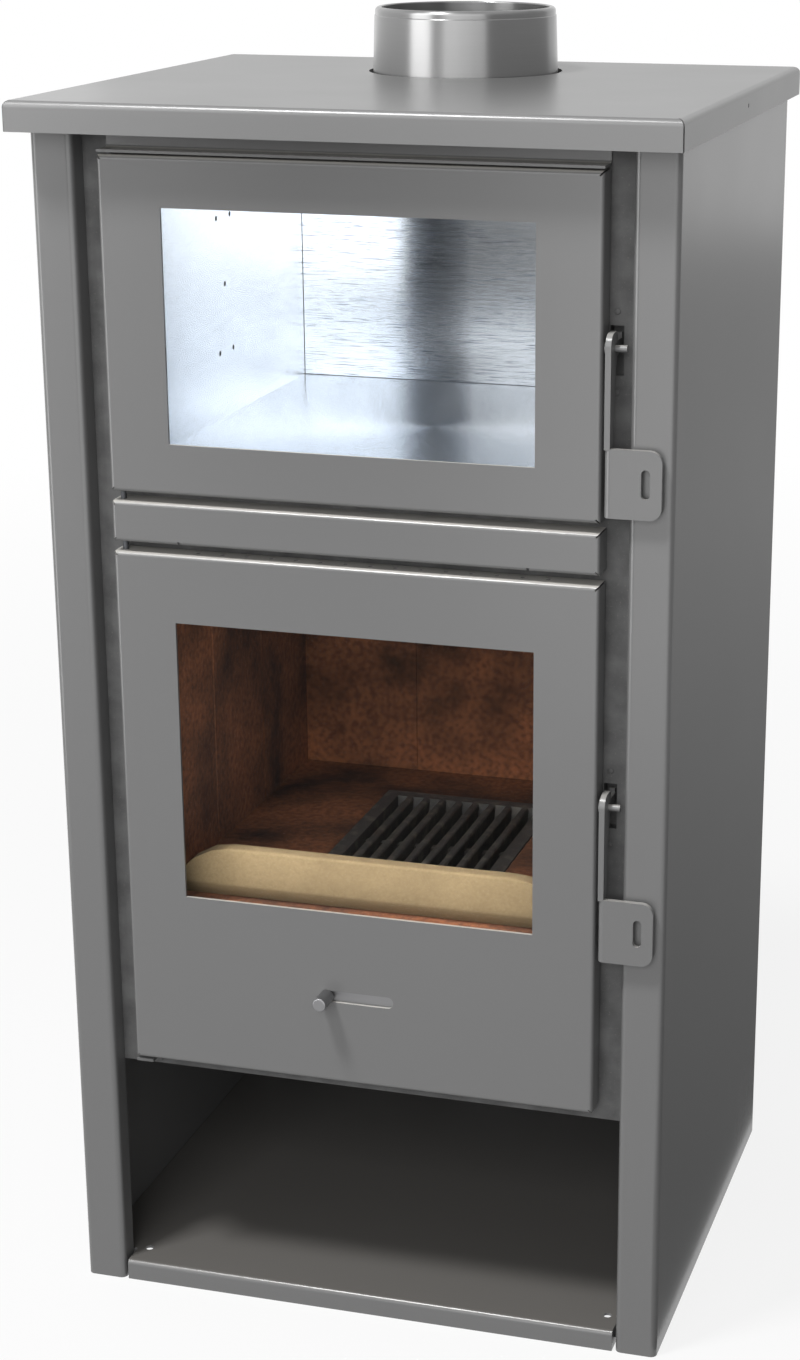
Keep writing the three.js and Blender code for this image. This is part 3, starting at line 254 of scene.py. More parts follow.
# ---------------------------------------------------------------- solids
class Solid:
    """A closed shape in the making, whose place is in its mesh."""

    def __init__(self, mesh: Mesh) -> None:
        """Keep the mesh of the shape."""
        self.mesh = mesh

    def joined(self, others: Sequence["Solid"], how: Joining) -> "Solid":
        """Join other shapes to this one, one after the other.

        Args:
            others: The shapes to add, take away or keep within.
            how: What each of them does.

        Returns:
            The new shape.
        """
        base = held(self.mesh)
        tools = [held(other.mesh) for other in others]
        for tool in tools:
            step = base.modifiers.new(how.name, "BOOLEAN")
            step.object = tool
            step.operation = how.value
            step.solver = "EXACT"
        result = Solid(evaluated(base))
        for tool in tools:
            bpy.data.objects.remove(tool)
        return result

    def minus(self, *others: "Solid") -> "Solid":
        """Cut other shapes out of this one."""
        return self.joined(others, Joining.MINUS)

    def plus(self, *others: "Solid") -> "Solid":
        """Add other shapes to this one."""
        return self.joined(others, Joining.PLUS)

    def within(self, other: "Solid") -> "Solid":
        """Keep what lies inside the other shape."""
        return self.joined([other], Joining.WITHIN)


def packed_shape(node: str) -> Solid:
    """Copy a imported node's mesh, with its loose triangles merged."""
    return Solid(plain(merged(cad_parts[node].data)))


def middle_of(node: str) -> Vector:
    """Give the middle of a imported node's box."""
    low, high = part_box(node)
    return (low + high) / 2


def solid_from(build: Callable[[bmesh.types.BMesh], None]) -> Solid:
    """Make a closed shape whose faces point outwards.

    Args:
        build: Fills an empty mesh with the shape's points and faces.

    Returns:
        The shape.
    """
    shape = bmesh.new()
    build(shape)
    bmesh.ops.recalc_face_normals(shape, faces=shape.faces)
    return Solid(plain(shape))


def rounded(corners: Sequence[Pair], radii: Sequence[float]) -> list[Vector]:
    """Round the corners of an outline.

    Args:
        corners: The outline's corners, in order.
        radii: One radius for each corner; a corner with 0 stays sharp.

    Returns:
        The points of the rounded outline.
    """
    points: list[Vector] = []
    for index, (corner, radius) in enumerate(zip(corners, radii, strict=True)):
        tip = Vector(corner)
        if radius <= 0:
            points.append(tip)
            continue
        before = (Vector(corners[index - 1]) - tip).normalized()
        after = (Vector(corners[(index + 1) % len(corners)]) - tip).normalized()
        half = before.angle(after) / 2
        centre = tip + (before + after).normalized() * (radius / math.sin(half))
        start = tip + before * (radius / math.tan(half)) - centre
        end = tip + after * (radius / math.tan(half)) - centre
        turn = math.atan2(start.cross(end), start.dot(end))
        heading = math.atan2(start.y, start.x)
        steps = max(2, math.ceil(abs(turn) / ARC_STEP))
        for step in range(steps + 1):
            angle = heading + turn * step / steps
            spoke = Vector((math.cos(angle), math.sin(angle))) * radius
            points.append(centre + spoke)
    return points


def rectangle(low: Sequence[float], high: Sequence[float]) -> list[Pair]:
    """Give the corners of a rectangle between two opposite ones."""
    return [(low[0], low[1]), (high[0], low[1]), (high[0], high[1]), (low[0], high[1])]


def circle(u: float, v: float, radius: float, sides: int) -> list[Vector]:
    """Give the points of a circle in a plane of two axes."""
    turns = (2 * math.pi * side / sides for side in range(sides))
    return [Vector((u + radius * math.cos(turn), v + radius * math.sin(turn))) for turn in turns]


def prism(axis: Axis, points: Sequence[Sequence[float]], start: float, end: float) -> Solid:
    """Push an outline along an axis.

    Args:
        axis: The axis that the outline moves along.
        points: The outline, on the two other axes in their order.
        start: The station where the shape starts.
        end: The station where it ends.

    Returns:
        The shape.
    """

    def build(shape: bmesh.types.BMesh) -> None:
        """Lay the two end faces and the wall between them.

        Args:
            shape: The empty mesh that they go into.
        """
        near = [shape.verts.new(axis.point(point, start)) for point in points]
        far = [shape.verts.new(axis.point(point, end)) for point in points]
        shape.faces.new(near)
        shape.faces.new(far)
        for index, corner in enumerate(near):
            shape.faces.new((near[index - 1], corner, far[index], far[index - 1]))

    return solid_from(build)


def rod(axis: Axis, centre: Pair, radius: float, ends: Pair, sides: int = SIDES) -> Solid:
    """Make a round bar along an axis, or the cutter of a round hole."""
    return prism(axis, circle(*centre, radius, sides), *ends)


def turned(axis: Axis, centre: Pair, profile: Sequence[Sequence[float]], sides: int) -> Solid:
    """Turn a profile about an axis.

    Args:
        axis: The axis that the profile turns about.
        centre: Where that axis stands, on the two other axes in their order.
        profile: Pairs of radius and station. It closes on itself, or starts and ends at radius 0.
        sides: How many faces go round.

    Returns:
        The shape.
    """

    def build(shape: bmesh.types.BMesh) -> None:
        """Lay one ring of points for each pair, and the faces between the rings.

        Args:
            shape: The empty mesh that they go into.
        """
        rings = []
        for radius, station in profile:
            spokes = circle(*centre, radius, sides)[: sides if radius else 1]
            rings.append([shape.verts.new(axis.point(spoke, station)) for spoke in spokes])
        for index, ring in enumerate(rings):
            other = rings[index - 1]
            if len(ring) == len(other) == 1:
                continue
            for side in range(sides):
                corners = [
                    other[side % len(other)],
                    other[(side + 1) % len(other)],
                    ring[(side + 1) % len(ring)],
                    ring[side % len(ring)],
                ]
                shape.faces.new(list(dict.fromkeys(corners)))

    return solid_from(build)


def block(low: Sequence[float], high: Sequence[float]) -> Solid:
    """Make a block between two opposite corners."""
    return prism(Axis.Z, rectangle(low, high), low[2], high[2])


def pressed_block(low: Vector, high: Vector, face: Axis, side: End, bend: float) -> Solid:
    """Make a block whose edges round one face are rounded, as a press brake leaves them.

    Args:
        low: The lowest corner.
        high: The highest corner.
        face: The axis that the rounded face looks along.
        side: Which end of that axis the face is at.
        bend: The radius of the edges.

    Returns:
        The block.
    """
    edge = (low if side is End.LOW else high)[face.value]
    halves = []
    for along in (axis for axis in Axis if axis is not face):
        u, v = (axis.value for axis in Axis if axis is not along)
        corners = rectangle((low[u], low[v]), (high[u], high[v]))
        spot = 0 if u == face.value else 1
        radii = [bend if corner[spot] == edge else 0 for corner in corners]
        halves.append(prism(along, rounded(corners, radii), low[along.value], high[along.value]))
    return halves[0].within(halves[1])


def folded_pan(
    low: Vector, high: Vector, face: Axis, side: End, sheet: float, bend: float
) -> Solid:
    """Fold a sheet into a pan: one flat face with its four edges folded over.

    Args:
        low: The lowest corner.
        high: The highest corner.
        face: The axis that the flat face looks along.
        side: Which end of that axis the flat face is at.
        sheet: The thickness of the sheet.
        bend: The outer radius of the folds.

    Returns:
        The pan, open behind its face.
    """
    inner_low = low + Vector((sheet, sheet, sheet))
    inner_high = high - Vector((sheet, sheet, sheet))
    if side is End.LOW:
        inner_high[face.value] = high[face.value] + OPEN
    else:
        inner_low[face.value] = low[face.value] - OPEN
    hollow = pressed_block(inner_low, inner_high, face, side, bend - sheet)
    return pressed_block(low, high, face, side, bend).minus(hollow)


def corner_slits(low: Vector, high: Vector, face: Axis, width: float, reach: float) -> list[Solid]:
    """Make the cutters for the open mitres at a folded pan's four corners.

    Args:
        low: The pan's lowest corner.
        high: The pan's highest corner.
        face: The axis that its flat face looks along.
        width: How wide each slit is.
        reach: How far each slit runs in from the corner.

    Returns:
        The four cutters.
    """
    u, v = (axis.value for axis in Axis if axis is not face)
    half = width / math.sqrt(2)
    slits = []
    for sign_u, tip_u in ((-1, low[u]), (1, high[u])):
        for sign_v, tip_v in ((-1, low[v]), (1, high[v])):
            points = [
                (tip_u + sign_u * (OPEN - half), tip_v + sign_v * (OPEN + half)),
                (tip_u + sign_u * (OPEN + half), tip_v + sign_v * (OPEN - half)),
                (tip_u - sign_u * (reach - half), tip_v - sign_v * (reach + half)),
                (tip_u - sign_u * (reach + half), tip_v - sign_v * (reach - half)),
            ]
            slits.append(prism(face, points, low[face.value] - OPEN, high[face.value] + OPEN))
    return slits


def bent_sheet(path: Sequence[Pair], sheet: float, bend: float) -> list[Vector]:
    """Give the section of a bent sheet.

    Args:
        path: The corners of one face; the sheet lies to the left of it.
        sheet: The thickness of the sheet.
        bend: The outer radius of each fold.

    Returns:
        The closed outline of the section.
    """
    corners = [Vector(point) for point in path]
    steps = [after - before for before, after in zip(corners, corners[1:])]
    normals = [Vector((-step.y, step.x)).normalized() for step in steps]
    inside = max(bend - sheet, 0)
    near: list[tuple[Pair, float]] = []
    far: list[tuple[Pair, float]] = []
    for index, corner in enumerate(corners):
        first = normals[max(index - 1, 0)]
        second = normals[min(index, len(normals) - 1)]
        turn = first.cross(second)
        outer = corner + (first + second) / (1 + first.dot(second)) * sheet
        near.append(((corner.x, corner.y), bend if turn > 0 else inside * (turn < 0)))
        far.insert(0, ((outer.x, outer.y), bend if turn < 0 else inside * (turn > 0)))
    ring = near + far
    return rounded([place for place, _ in ring], [radius for _, radius in ring])


# ---------------------------------------------------------------- nodes
NOISE = "ShaderNodeTexNoise"
RANGE = "ShaderNodeMapRange"  # its inputs in order: the value, the range it is in, the new range
MIX = "ShaderNodeMix"  # mixes colours: the share goes into 0, the colours into 6 and 7, out of 2
BUMP = "ShaderNodeBump"  # its Distance is a real depth
PRINCIPLED = "ShaderNodeBsdfPrincipled"
SPREAD = "GeometryNodeInstanceOnPoints"
OBJECT = "GeometryNodeObjectInfo"


def srgb(code: str) -> tuple[float, float, float, float]:
    """Turn an sRGB hex value to a linear colour.

    Args:
        code: The hex value, such as #7d7d7d.

    Returns:
        Red, green, blue and an alpha of 1.
    """
    levels = [int(code[place : place + 2], 16) / 255 for place in (1, 3, 5)]
    linear = [
        level / 12.92 if level <= 0.04045 else ((level + 0.055) / 1.055) ** 2.4
        for level in levels
    ]
    return (*linear, 1.0)


def add_node(
    tree: Tree,
    kind: str,
    given: dict[str | int, Any] | Sequence[Any] = (),
    output: str | int = 0,
) -> Socket | None:
    """Add a node to a tree, with its settings and links.

    Args:
        tree: The material's or the geometry's tree.
        kind: The node's type.
        given: What goes into its inputs, in their order, or else by their names or places. A
            socket is linked, and a text is a hex colour. A name that no input has is one of
            the node's own properties.
        output: The name or the place of the output that is used.

    Returns:
        That output, or None where the node has no outputs.
    """
    node = tree.nodes.new(kind)
    named = given if isinstance(given, dict) else dict(enumerate(given))
    for name, value in named.items():
        if isinstance(name, str) and name not in node.inputs:
            setattr(node, name, value)
        elif isinstance(value, Socket):
            tree.links.new(value, node.inputs[name])
        else:
            node.inputs[name].default_value = srgb(value) if isinstance(value, str) else value
    return node.outputs[output] if node.outputs else None


def blank_tree(owner: bpy.types.Material | bpy.types.World) -> Tree:
    """Turn on the nodes of a material or a world, and clear its tree.

    Args:
        owner: The material or the world.

    Returns:
        Its tree, with no node in it.
    """
    owner.use_nodes = True
    owner.node_tree.nodes.clear()
    return owner.node_tree


# ---------------------------------------------------------------- finishes
@dataclass(frozen=True)
class Finish:
    """A surface finish: its material and the record's slot that it belongs to."""

    name: str
    slot: str

    def material(self) -> bpy.types.Material:
        """Give the finish's material, which is made the first time.

        Returns:
            The material.
        """
        made = bpy.data.materials.get(self.name)
        if not made:
            made = bpy.data.materials.new(self.name)
            tree = blank_tree(made)
            place = add_node(tree, "ShaderNodeTexCoord", output="Object")
            add_node(tree, "ShaderNodeOutputMaterial", {"Surface": self.surface(tree, place)})
        return made

    def surface(self, tree: Tree, place: Socket) -> Socket:
        """Build the shader.

        Args:
            tree: The material's tree.
            place: The object coordinates.

        Returns:
            The shader's output.
        """
        raise NotImplementedError


@dataclass(frozen=True)
class HeatPaint(Finish):
    """Silicone stove paint, sprayed on sheet steel and cured by the first fire.

    It gives the eye a calm satin grey: soft highlights that run along each fold, a faint
    orange peel in them, and barely any difference in colour over a panel. What faces upwards
    takes another colour, which shows the fine ash that settles there and is also painted
    light and shade: it stands in for how light falls on ledges and upper folds.
    """

    colour: str = "#757575"
    thin: str = "#737373"  # where the film is thinner
    level_colour: str = "#c9c6c0"  # where the sheet faces upwards: pale ash, and painted light on ledges and upper folds
    level_share: float = 0.85
    level_slopes: Pair = (0.45, 0.95)  # the upward part of the normal, from none of the upward colour to its full share
    roughness: Pair = (0.23, 0.27)  # from one end of the clouds to the other
    ior: float = 1.55
    peel: float = 2.2 * MM  # a real peel is about 0.5 mm; drawn coarser so that it shows
    peel_depth: float = 0.003 * MM
    cloud: float = 90 * MM
    cloud_ends: Pair = (0.05, 0.95)

    def surface(self, tree: Tree, place: Socket) -> Socket:
        """Build the shader; see the base class."""
        cloud = add_node(tree, NOISE, {"Vector": place, "Scale": 1 / self.cloud, "Detail": 2})
        peel = add_node(tree, NOISE, {"Vector": place, "Scale": 1 / self.peel, "Detail": 2})
        facing = add_node(tree, "ShaderNodeNewGeometry", output="Normal")
        upward = add_node(tree, "ShaderNodeSeparateXYZ", [facing], "Z")
        # painted light and shade by facing: upward faces take the upward colour (ash, and painted
        # light and shade)
        upward_dust_and_shade = add_node(tree, RANGE, [upward, *self.level_slopes, 0, self.level_share])
        film = {"data_type": "RGBA", 0: cloud, 6: self.colour, 7: self.thin}
        shown = {
            "data_type": "RGBA",
            0: upward_dust_and_shade,
            6: add_node(tree, MIX, film, 2),
            7: self.level_colour,
        }
        paint = {
            "Base Color": add_node(tree, MIX, shown, 2),
            "Roughness": add_node(tree, RANGE, [cloud, *self.cloud_ends, *self.roughness]),
            "IOR": self.ior,
            "Normal": add_node(tree, BUMP, {"Height": peel, "Distance": self.peel_depth}),
        }
        return add_node(tree, PRINCIPLED, paint)


@dataclass(frozen=True)
class SootAndShadePaint(Finish):
    """The same paint behind the doors, dusted by smoke and ash, and painted darker for the shade
    there.

    It is darker than the doors, which is painted shade of the recess behind them, and mottled with
    soot, with small pale specks of ash.
    """

    colour: str = "#707070"
    # the dark patches: soot, and painted shade of the recess behind the doors
    soot: str = "#5a5a5a"
    ash: str = "#8b8883"
    roughness: float = 0.6
    ior: float = 1.25  # dust takes most of the paint's shine
    patch: float = 22 * MM
    patch_ends: Pair = (0.35, 0.65)  # the part of the noise in which paint turns to the dark soot-and-shade colour
    speck: float = 1.6 * MM
    speck_ends: Pair = (0.62, 0.78)
    speck_share: float = 0.5
    speck_depth: float = 0.02 * MM

    def surface(self, tree: Tree, place: Socket) -> Socket:
        """Build the shader; see the base class."""
        patch = add_node(tree, NOISE, {"Vector": place, "Scale": 1 / self.patch, "Detail": 5})
        speck = add_node(tree, NOISE, {"Vector": place, "Scale": 1 / self.speck, "Detail": 2})
        sooty = add_node(tree, RANGE, [patch, *self.patch_ends, 0, 1])
        ashy = add_node(tree, RANGE, [speck, *self.speck_ends, 0, self.speck_share])
        dull = {"data_type": "RGBA", 0: sooty, 6: self.colour, 7: self.soot}
        dusted = {"data_type": "RGBA", 0: ashy, 6: add_node(tree, MIX, dull, 2), 7: self.ash}
        paint = {
            "Base Color": add_node(tree, MIX, dusted, 2),
            "Roughness": self.roughness,
            "IOR": self.ior,
            "Normal": add_node(tree, BUMP, {"Height": speck, "Distance": self.speck_depth}),
        }
        return add_node(tree, PRINCIPLED, paint)


@dataclass(frozen=True)
class RolledSteel(Finish):
    """Hot-rolled steel with its mill scale, left bare where nobody looks.

    It is a dark, dull blue-grey metal, clouded where the scale is thicker.
    """

    colour: str = "#56585b"
    scale: str = "#424346"
    metallic: float = 0.7
    roughness: Pair = (0.42, 0.65)  # from one end of the clouds to the other
    patch: float = 80 * MM
    patch_ends: Pair = (0.3, 0.7)
    grain: float = 1.5 * MM
    grain_depth: float = 0.01 * MM

    def surface(self, tree: Tree, place: Socket) -> Socket:
        """Build the shader; see the base class."""
        patch = add_node(tree, NOISE, {"Vector": place, "Scale": 1 / self.patch, "Detail": 4})
        grain = add_node(tree, NOISE, {"Vector": place, "Scale": 1 / self.grain, "Detail": 3})
        clouded = {"data_type": "RGBA", 0: patch, 6: self.colour, 7: self.scale}
        steel = {
            "Base Color": add_node(tree, MIX, clouded, 2),
            "Metallic": self.metallic,
            "Roughness": add_node(tree, RANGE, [patch, *self.patch_ends, *self.roughness]),
            "Normal": add_node(tree, BUMP, {"Height": grain, "Distance": self.grain_depth}),
        }
        return add_node(tree, PRINCIPLED, steel)


@dataclass(frozen=True)
class BrushedSteel(Finish):
    """Stainless sheet with a brushed face, as oven liners are made of.

    It is a bright, cold metal with short scratches that lie level, and it spreads each
    reflection upwards and downwards.
    """

    colour: str = "#f4f7fb"
    scratch: str = "#9aa3b0"
    roughness: Pair = (0.16, 0.26)  # from one end of the lines to the other
    anisotropy: float = 0.9
    turn: float = 0.25  # of the direction in which it spreads a reflection, in full turns
    line: float = 0.6 * MM  # real lines are under 0.1 mm; drawn coarser so that they show
    line_ends: Pair = (0.3, 0.7)
    reach: Triple = (30, 30, 1)  # how far a scratch is drawn out
    marked: Pair = (0.56, 0.72)  # the part of the noise that shows as a scratch
    depth: float = 0.004 * MM

    def surface(self, tree: Tree, place: Socket) -> Socket:
        """Build the shader; see the base class."""
        drawn = {"Vector": place, "Scale": [1 / length for length in self.reach]}
        along = add_node(tree, "ShaderNodeMapping", drawn)
        lines = add_node(tree, NOISE, {"Vector": along, "Scale": 1 / self.line, "Detail": 2})
        marks = add_node(tree, RANGE, [lines, *self.marked, 0, 1])
        scratched = {"data_type": "RGBA", 0: marks, 6: self.colour, 7: self.scratch}
        steel = {
            "Base Color": add_node(tree, MIX, scratched, 2),
            "Metallic": 1.0,
            "Roughness": add_node(tree, RANGE, [lines, *self.line_ends, *self.roughness]),
            "Anisotropic": self.anisotropy,
            "Anisotropic Rotation": self.turn,
            "Normal": add_node(tree, BUMP, {"Height": lines, "Distance": self.depth}),
        }
        return add_node(tree, PRINCIPLED, steel)


@dataclass(frozen=True)
class PlatedSteel(Finish):
    """Zinc-plated steel for screws: bright, slightly soft and cool."""

    colour: str = "#b4b8bd"
    dull: str = "#8f9398"
    roughness: Pair = (0.25, 0.42)  # from one end of the patches to the other
    patch: float = 2.5 * MM
    patch_ends: Pair = (0.3, 0.7)

    def surface(self, tree: Tree, place: Socket) -> Socket:
        """Build the shader; see the base class."""
        patch = add_node(tree, NOISE, {"Vector": place, "Scale": 1 / self.patch, "Detail": 3})
        dulled = {"data_type": "RGBA", 0: patch, 6: self.colour, 7: self.dull}
        steel = {
            "Base Color": add_node(tree, MIX, dulled, 2),
            "Metallic": 1.0,
            "Roughness": add_node(tree, RANGE, [patch, *self.patch_ends, *self.roughness]),
        }
        return add_node(tree, PRINCIPLED, steel)


@dataclass(frozen=True)
class TurnedSteel(Finish):
    """Steel turned or spun round an axis, with a satin face.

    The fine rings that the tool leaves draw each lamp out to a bright band across them.
    """

    colour: str = "#7e7e7f"
    ring_colour: str = "#767677"
    roughness: float = 0.34
    anisotropy: float = 0.7
    turn: float = 0.25  # of the direction in which it spreads a reflection, in full turns
    ring: float = 0.8 * MM  # real rings are about 0.1 mm apart; drawn coarser so that they show
    ring_reach: float = 60.0  # how many times as long as wide a ring's mark is
    ring_depth: float = 0.004 * MM

    def surface(self, tree: Tree, place: Socket) -> Socket:
        """Build the shader; see the base class."""
        level = 1 / self.ring_reach
        drawn = {"Vector": place, "Scale": (level, level, 1)}
        along = add_node(tree, "ShaderNodeMapping", drawn)
        rings = add_node(tree, NOISE, {"Vector": along, "Scale": 1 / self.ring, "Detail": 2})
        ringed = {"data_type": "RGBA", 0: rings, 6: self.colour, 7: self.ring_colour}
        steel = {
            "Base Color": add_node(tree, MIX, ringed, 2),
            "Metallic": 1.0,
            "Roughness": self.roughness,
            "Anisotropic": self.anisotropy,
            "Anisotropic Rotation": self.turn,
            "Normal": add_node(tree, BUMP, {"Height": rings, "Distance": self.ring_depth}),
        }
        return add_node(tree, PRINCIPLED, steel)


@dataclass(frozen=True)
class CeramicGlass(Finish):
    """Clear glass-ceramic for stove doors.

    It is see-through with hardly a reflection, as coated glass is, which takes a lower IOR than
    the 1.53 of the bare material. Lamps shine through it into the stove.
    """

    colour: str = "#fbfcfc"
    roughness: float = 0.0
    ior: float = 1.06

    def surface(self, tree: Tree, place: Socket) -> Socket:
        """Build the shader; see the base class."""
        glass = {
            "Base Color": self.colour,
            "Roughness": self.roughness,
            "IOR": self.ior,
            "Transmission Weight": 1.0,
        }
        shadow = add_node(tree, "ShaderNodeLightPath", output="Is Shadow Ray")
        clear = add_node(tree, "ShaderNodeBsdfTransparent")
        seen = add_node(tree, PRINCIPLED, glass)
        return add_node(tree, "ShaderNodeMixShader", [shadow, seen, clear])


@dataclass(frozen=True)
class Refractory(Finish):
    """Fired clay, vermiculite board or rope: a dull, grainy surface with soot on it.

    The grains break up the light, and soot gathers in broad soft patches. Below a given height the
    foot is darker: smoke stain, and painted shade.
    """

    # the clay's own red-brown, lightened: painted glow of a fire on the bricks
    colour: str = "#8a5433"
    grain_colour: str = "#673d26"
    soot: str = "#24160d"
    soot_share: Pair = (0.35, 0.7)  # the part of the noise that turns to soot
    soot_size: float = 70 * MM
    grain: float = 5 * MM
    grain_ends: Pair = (0.4, 0.65)  # the part of the noise that turns to grains
    depth: float = 0.06 * MM
    roughness: float = 0.95
    ior: float = 1.5
    foot_heights: Pair = (-2.0, -1.0)  # from where its foot is fully darkened to where that ends: smoke stain, and painted shade
    foot_share: float = 0.55

    def surface(self, tree: Tree, place: Socket) -> Socket:
        """Build the shader; see the base class."""
        grain = add_node(tree, NOISE, {"Vector": place, "Scale": 1 / self.grain, "Detail": 5})
        patch = add_node(tree, NOISE, {"Vector": place, "Scale": 1 / self.soot_size, "Detail": 5})
        height = add_node(tree, "ShaderNodeSeparateXYZ", [place], "Z")
        grains = add_node(tree, RANGE, [grain, *self.grain_ends, 0, 1])
        soot = add_node(tree, RANGE, [patch, *self.soot_share, 0, 1])
        # the foot's darkening: smoke stain, and painted shade of an undercut foot
        smoke = add_node(tree, RANGE, [height, *self.foot_heights, self.foot_share, 0])
        clay = {"data_type": "RGBA", 0: grains, 6: self.colour, 7: self.grain_colour}
        sooty = {"data_type": "RGBA", 0: soot, 6: add_node(tree, MIX, clay, 2), 7: self.soot}
        foot_stain_and_shade = {"data_type": "RGBA", 0: smoke, 6: add_node(tree, MIX, sooty, 2), 7: self.soot}
        board = {
            "Base Color": add_node(tree, MIX, foot_stain_and_shade, 2),
            "Roughness": self.roughness,
            "IOR": self.ior,
            "Normal": add_node(tree, BUMP, {"Height": grain, "Distance": self.depth}),
        }
        return add_node(tree, PRINCIPLED, board)


@dataclass(frozen=True)
class CastIron(Finish):
    """Sand-cast iron, blackened by fire: dark, dull and slightly pebbled, with ash on it."""

    colour: str = "#4a4846"
    ash: str = "#7d766c"
    ash_share: float = 0.7
    metallic: float = 0.2
    roughness: float = 0.7
    ior: float = 1.5
    pebble: float = 1.8 * MM
    pebble_depth: float = 0.15 * MM
    patch: float = 12 * MM
    patch_ends: Pair = (0.5, 0.75)  # the part of the noise in which iron turns to ash

    def surface(self, tree: Tree, place: Socket) -> Socket:
        """Build the shader; see the base class."""
        pebble = add_node(tree, NOISE, {"Vector": place, "Scale": 1 / self.pebble, "Detail": 4})
        patch = add_node(tree, NOISE, {"Vector": place, "Scale": 1 / self.patch, "Detail": 4})
        dust = add_node(tree, RANGE, [patch, *self.patch_ends, 0, self.ash_share])
        dusted = {"data_type": "RGBA", 0: dust, 6: self.colour, 7: self.ash}
        iron = {
            "Base Color": add_node(tree, MIX, dusted, 2),
            "Metallic": self.metallic,
            "Roughness": self.roughness,
            "IOR": self.ior,
            "Normal": add_node(tree, BUMP, {"Height": pebble, "Distance": self.pebble_depth}),
        }
        return add_node(tree, PRINCIPLED, iron)


BODY_PAINT = HeatPaint("satin_heat_paint", "body_paint")
TOP_PAINT = HeatPaint(
    "satin_heat_paint_top",
    "top_paint",
    colour="#797979",
    thin="#777777",
    level_colour="#606060",  # darker where the plate faces straight up: painted shade on the flat top
    level_share=1.0,
    level_slopes=(0.8, 0.98),
    roughness=(0.28, 0.32),
    peel_depth=0.001 * MM,
)
TRAY_PAINT = HeatPaint(
    "satin_heat_paint_tray",
    "body_paint",
    level_colour="#6b6864",  # darker grey where the tray faces upwards
    level_share=0.8,
)
# upward faces take some of the pale upward colour: ash, and painted light
LEVER_PAINT = HeatPaint(
    "satin_heat_paint_lever", "lever_paint", colour="#767676", thin="#737373", level_share=0.4
)
# the frame's paint, darker than the doors: soot, and painted shade of the recess
FRAME_PAINT = SootAndShadePaint("sooted_heat_paint", "frame_paint")
DARK_STEEL = RolledSteel("hot_rolled_steel", "dark_steel")
OVEN_BACK_STEEL = BrushedSteel(
    "brushed_stainless_steel", "bright_steel", roughness=(0.11, 0.21)
)
OVEN_STEEL = BrushedSteel(
    "satin_stainless_steel",
    "bright_steel",
    colour="#f0f4f9",
    scratch="#c3cddb",
    line=0.7 * MM,
    reach=(1, 1, 1),
    marked=(0.45, 0.75),
    depth=0.002 * MM,
)
SCREW_STEEL = PlatedSteel("zinc_plated_steel", "bright_steel")
COLLAR_STEEL = TurnedSteel(
    "metallic_heat_paint",
    "collar_paint",
    colour="#8c8c8c",
    ring_colour="#888888",
    roughness=0.3,
    anisotropy=0.8,
)
KNOB_STEEL = TurnedSteel("turned_steel", "turned_steel")
DOOR_GLASS = CeramicGlass("glass_ceramic", "door_glass")
SEAL_ROPE = Refractory(
    "braided_glass_fibre_rope",
    "seal_rope",
    colour="#7b766e",
    grain_colour="#5b5751",
    soot="#36322e",
    grain=1.2 * MM,
)
# its default clay colours are lightened: painted glow of a fire on the bricks
FIREBRICK = Refractory("fired_clay_brick", "firebrick")
VERMICULITE = Refractory(
    "vermiculite_board",
    "vermiculite",
    colour="#8a7655",
    grain_colour="#816d4d",
    soot="#5c4a30",
    soot_share=(0.45, 0.95),
    soot_size=110 * MM,
    grain=1.6 * MM,
    depth=0.03 * MM,
    # its undercut foot is darker: brown stain, and painted shade of the undercut
    foot_heights=(345.2 * MM, 347.2 * MM),
)
GRATE_IRON = CastIron("sand_cast_iron", "grate_iron")


# ---------------------------------------------------------------- pieces
def mounted(name: str, mesh: Mesh, finish: Finish, body: Body, nodes: Sequence[str]) -> None:
    """Dress a finished mesh and set it on its body.

    Args:
        name: The piece's name.
        mesh: Its mesh, in place.
        finish: Its surface finish.
        body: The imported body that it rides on.
        nodes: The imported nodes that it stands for.
    """
    made = held(mesh, name)
    made.data.name = name
    made.data.materials.clear()
    made.data.materials.append(finish.material())
    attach(made, body.value)
    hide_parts(*nodes)
    log.info("piece %s: %d faces", name, len(made.data.polygons))


def piece(
    node: str, shape: Solid, finish: Finish, body: Body = Body.STOVE, edge: float = EDGE
) -> None:
    """Break a shape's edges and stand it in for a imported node."""
    mounted(f"{node}.dressed", softened(shape.mesh, edge), finish, body, [node])


def refined(node: str, finish: Finish, body: Body = Body.STOVE, edge: float = EDGE) -> None:
    """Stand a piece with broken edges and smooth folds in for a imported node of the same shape."""
    piece(node, packed_shape(node), finish, body, edge)


# ---------------------------------------------------------------- what repeats
class Repeated(Enum):
    """The inputs of the geometry nodes that repeat a shape, with the kind of each socket."""

    SHAPE = ("Shape", "NodeSocketObject")
    PATH = ("Path", "NodeSocketObject")
    COUNT = ("Count", "NodeSocketInt")
    FIRST = ("First place", "NodeSocketVector")
    STEP = ("Step", "NodeSocketVector")
    PITCH = ("Pitch", "NodeSocketFloat")
    FINISH = ("Finish", "NodeSocketMaterial")


def new_tree(name: str, inputs: Sequence[Repeated]) -> tuple[Tree, dict[Repeated, Socket]]:
    """Start a tree of geometry nodes.

    Args:
        name: The tree's name.
        inputs: What it asks for.

    Returns:
        The tree, and the sockets of its inputs.
    """
    tree = bpy.data.node_groups.new(name, "GeometryNodeTree")
    for entry in inputs:
        label, kind = entry.value
        tree.interface.new_socket(label, in_out="INPUT", socket_type=kind)
    tree.interface.new_socket("Result", in_out="OUTPUT", socket_type="NodeSocketGeometry")
    given = add_node(tree, "NodeGroupInput").node.outputs
    return tree, {entry: given[entry.value[0]] for entry in inputs}


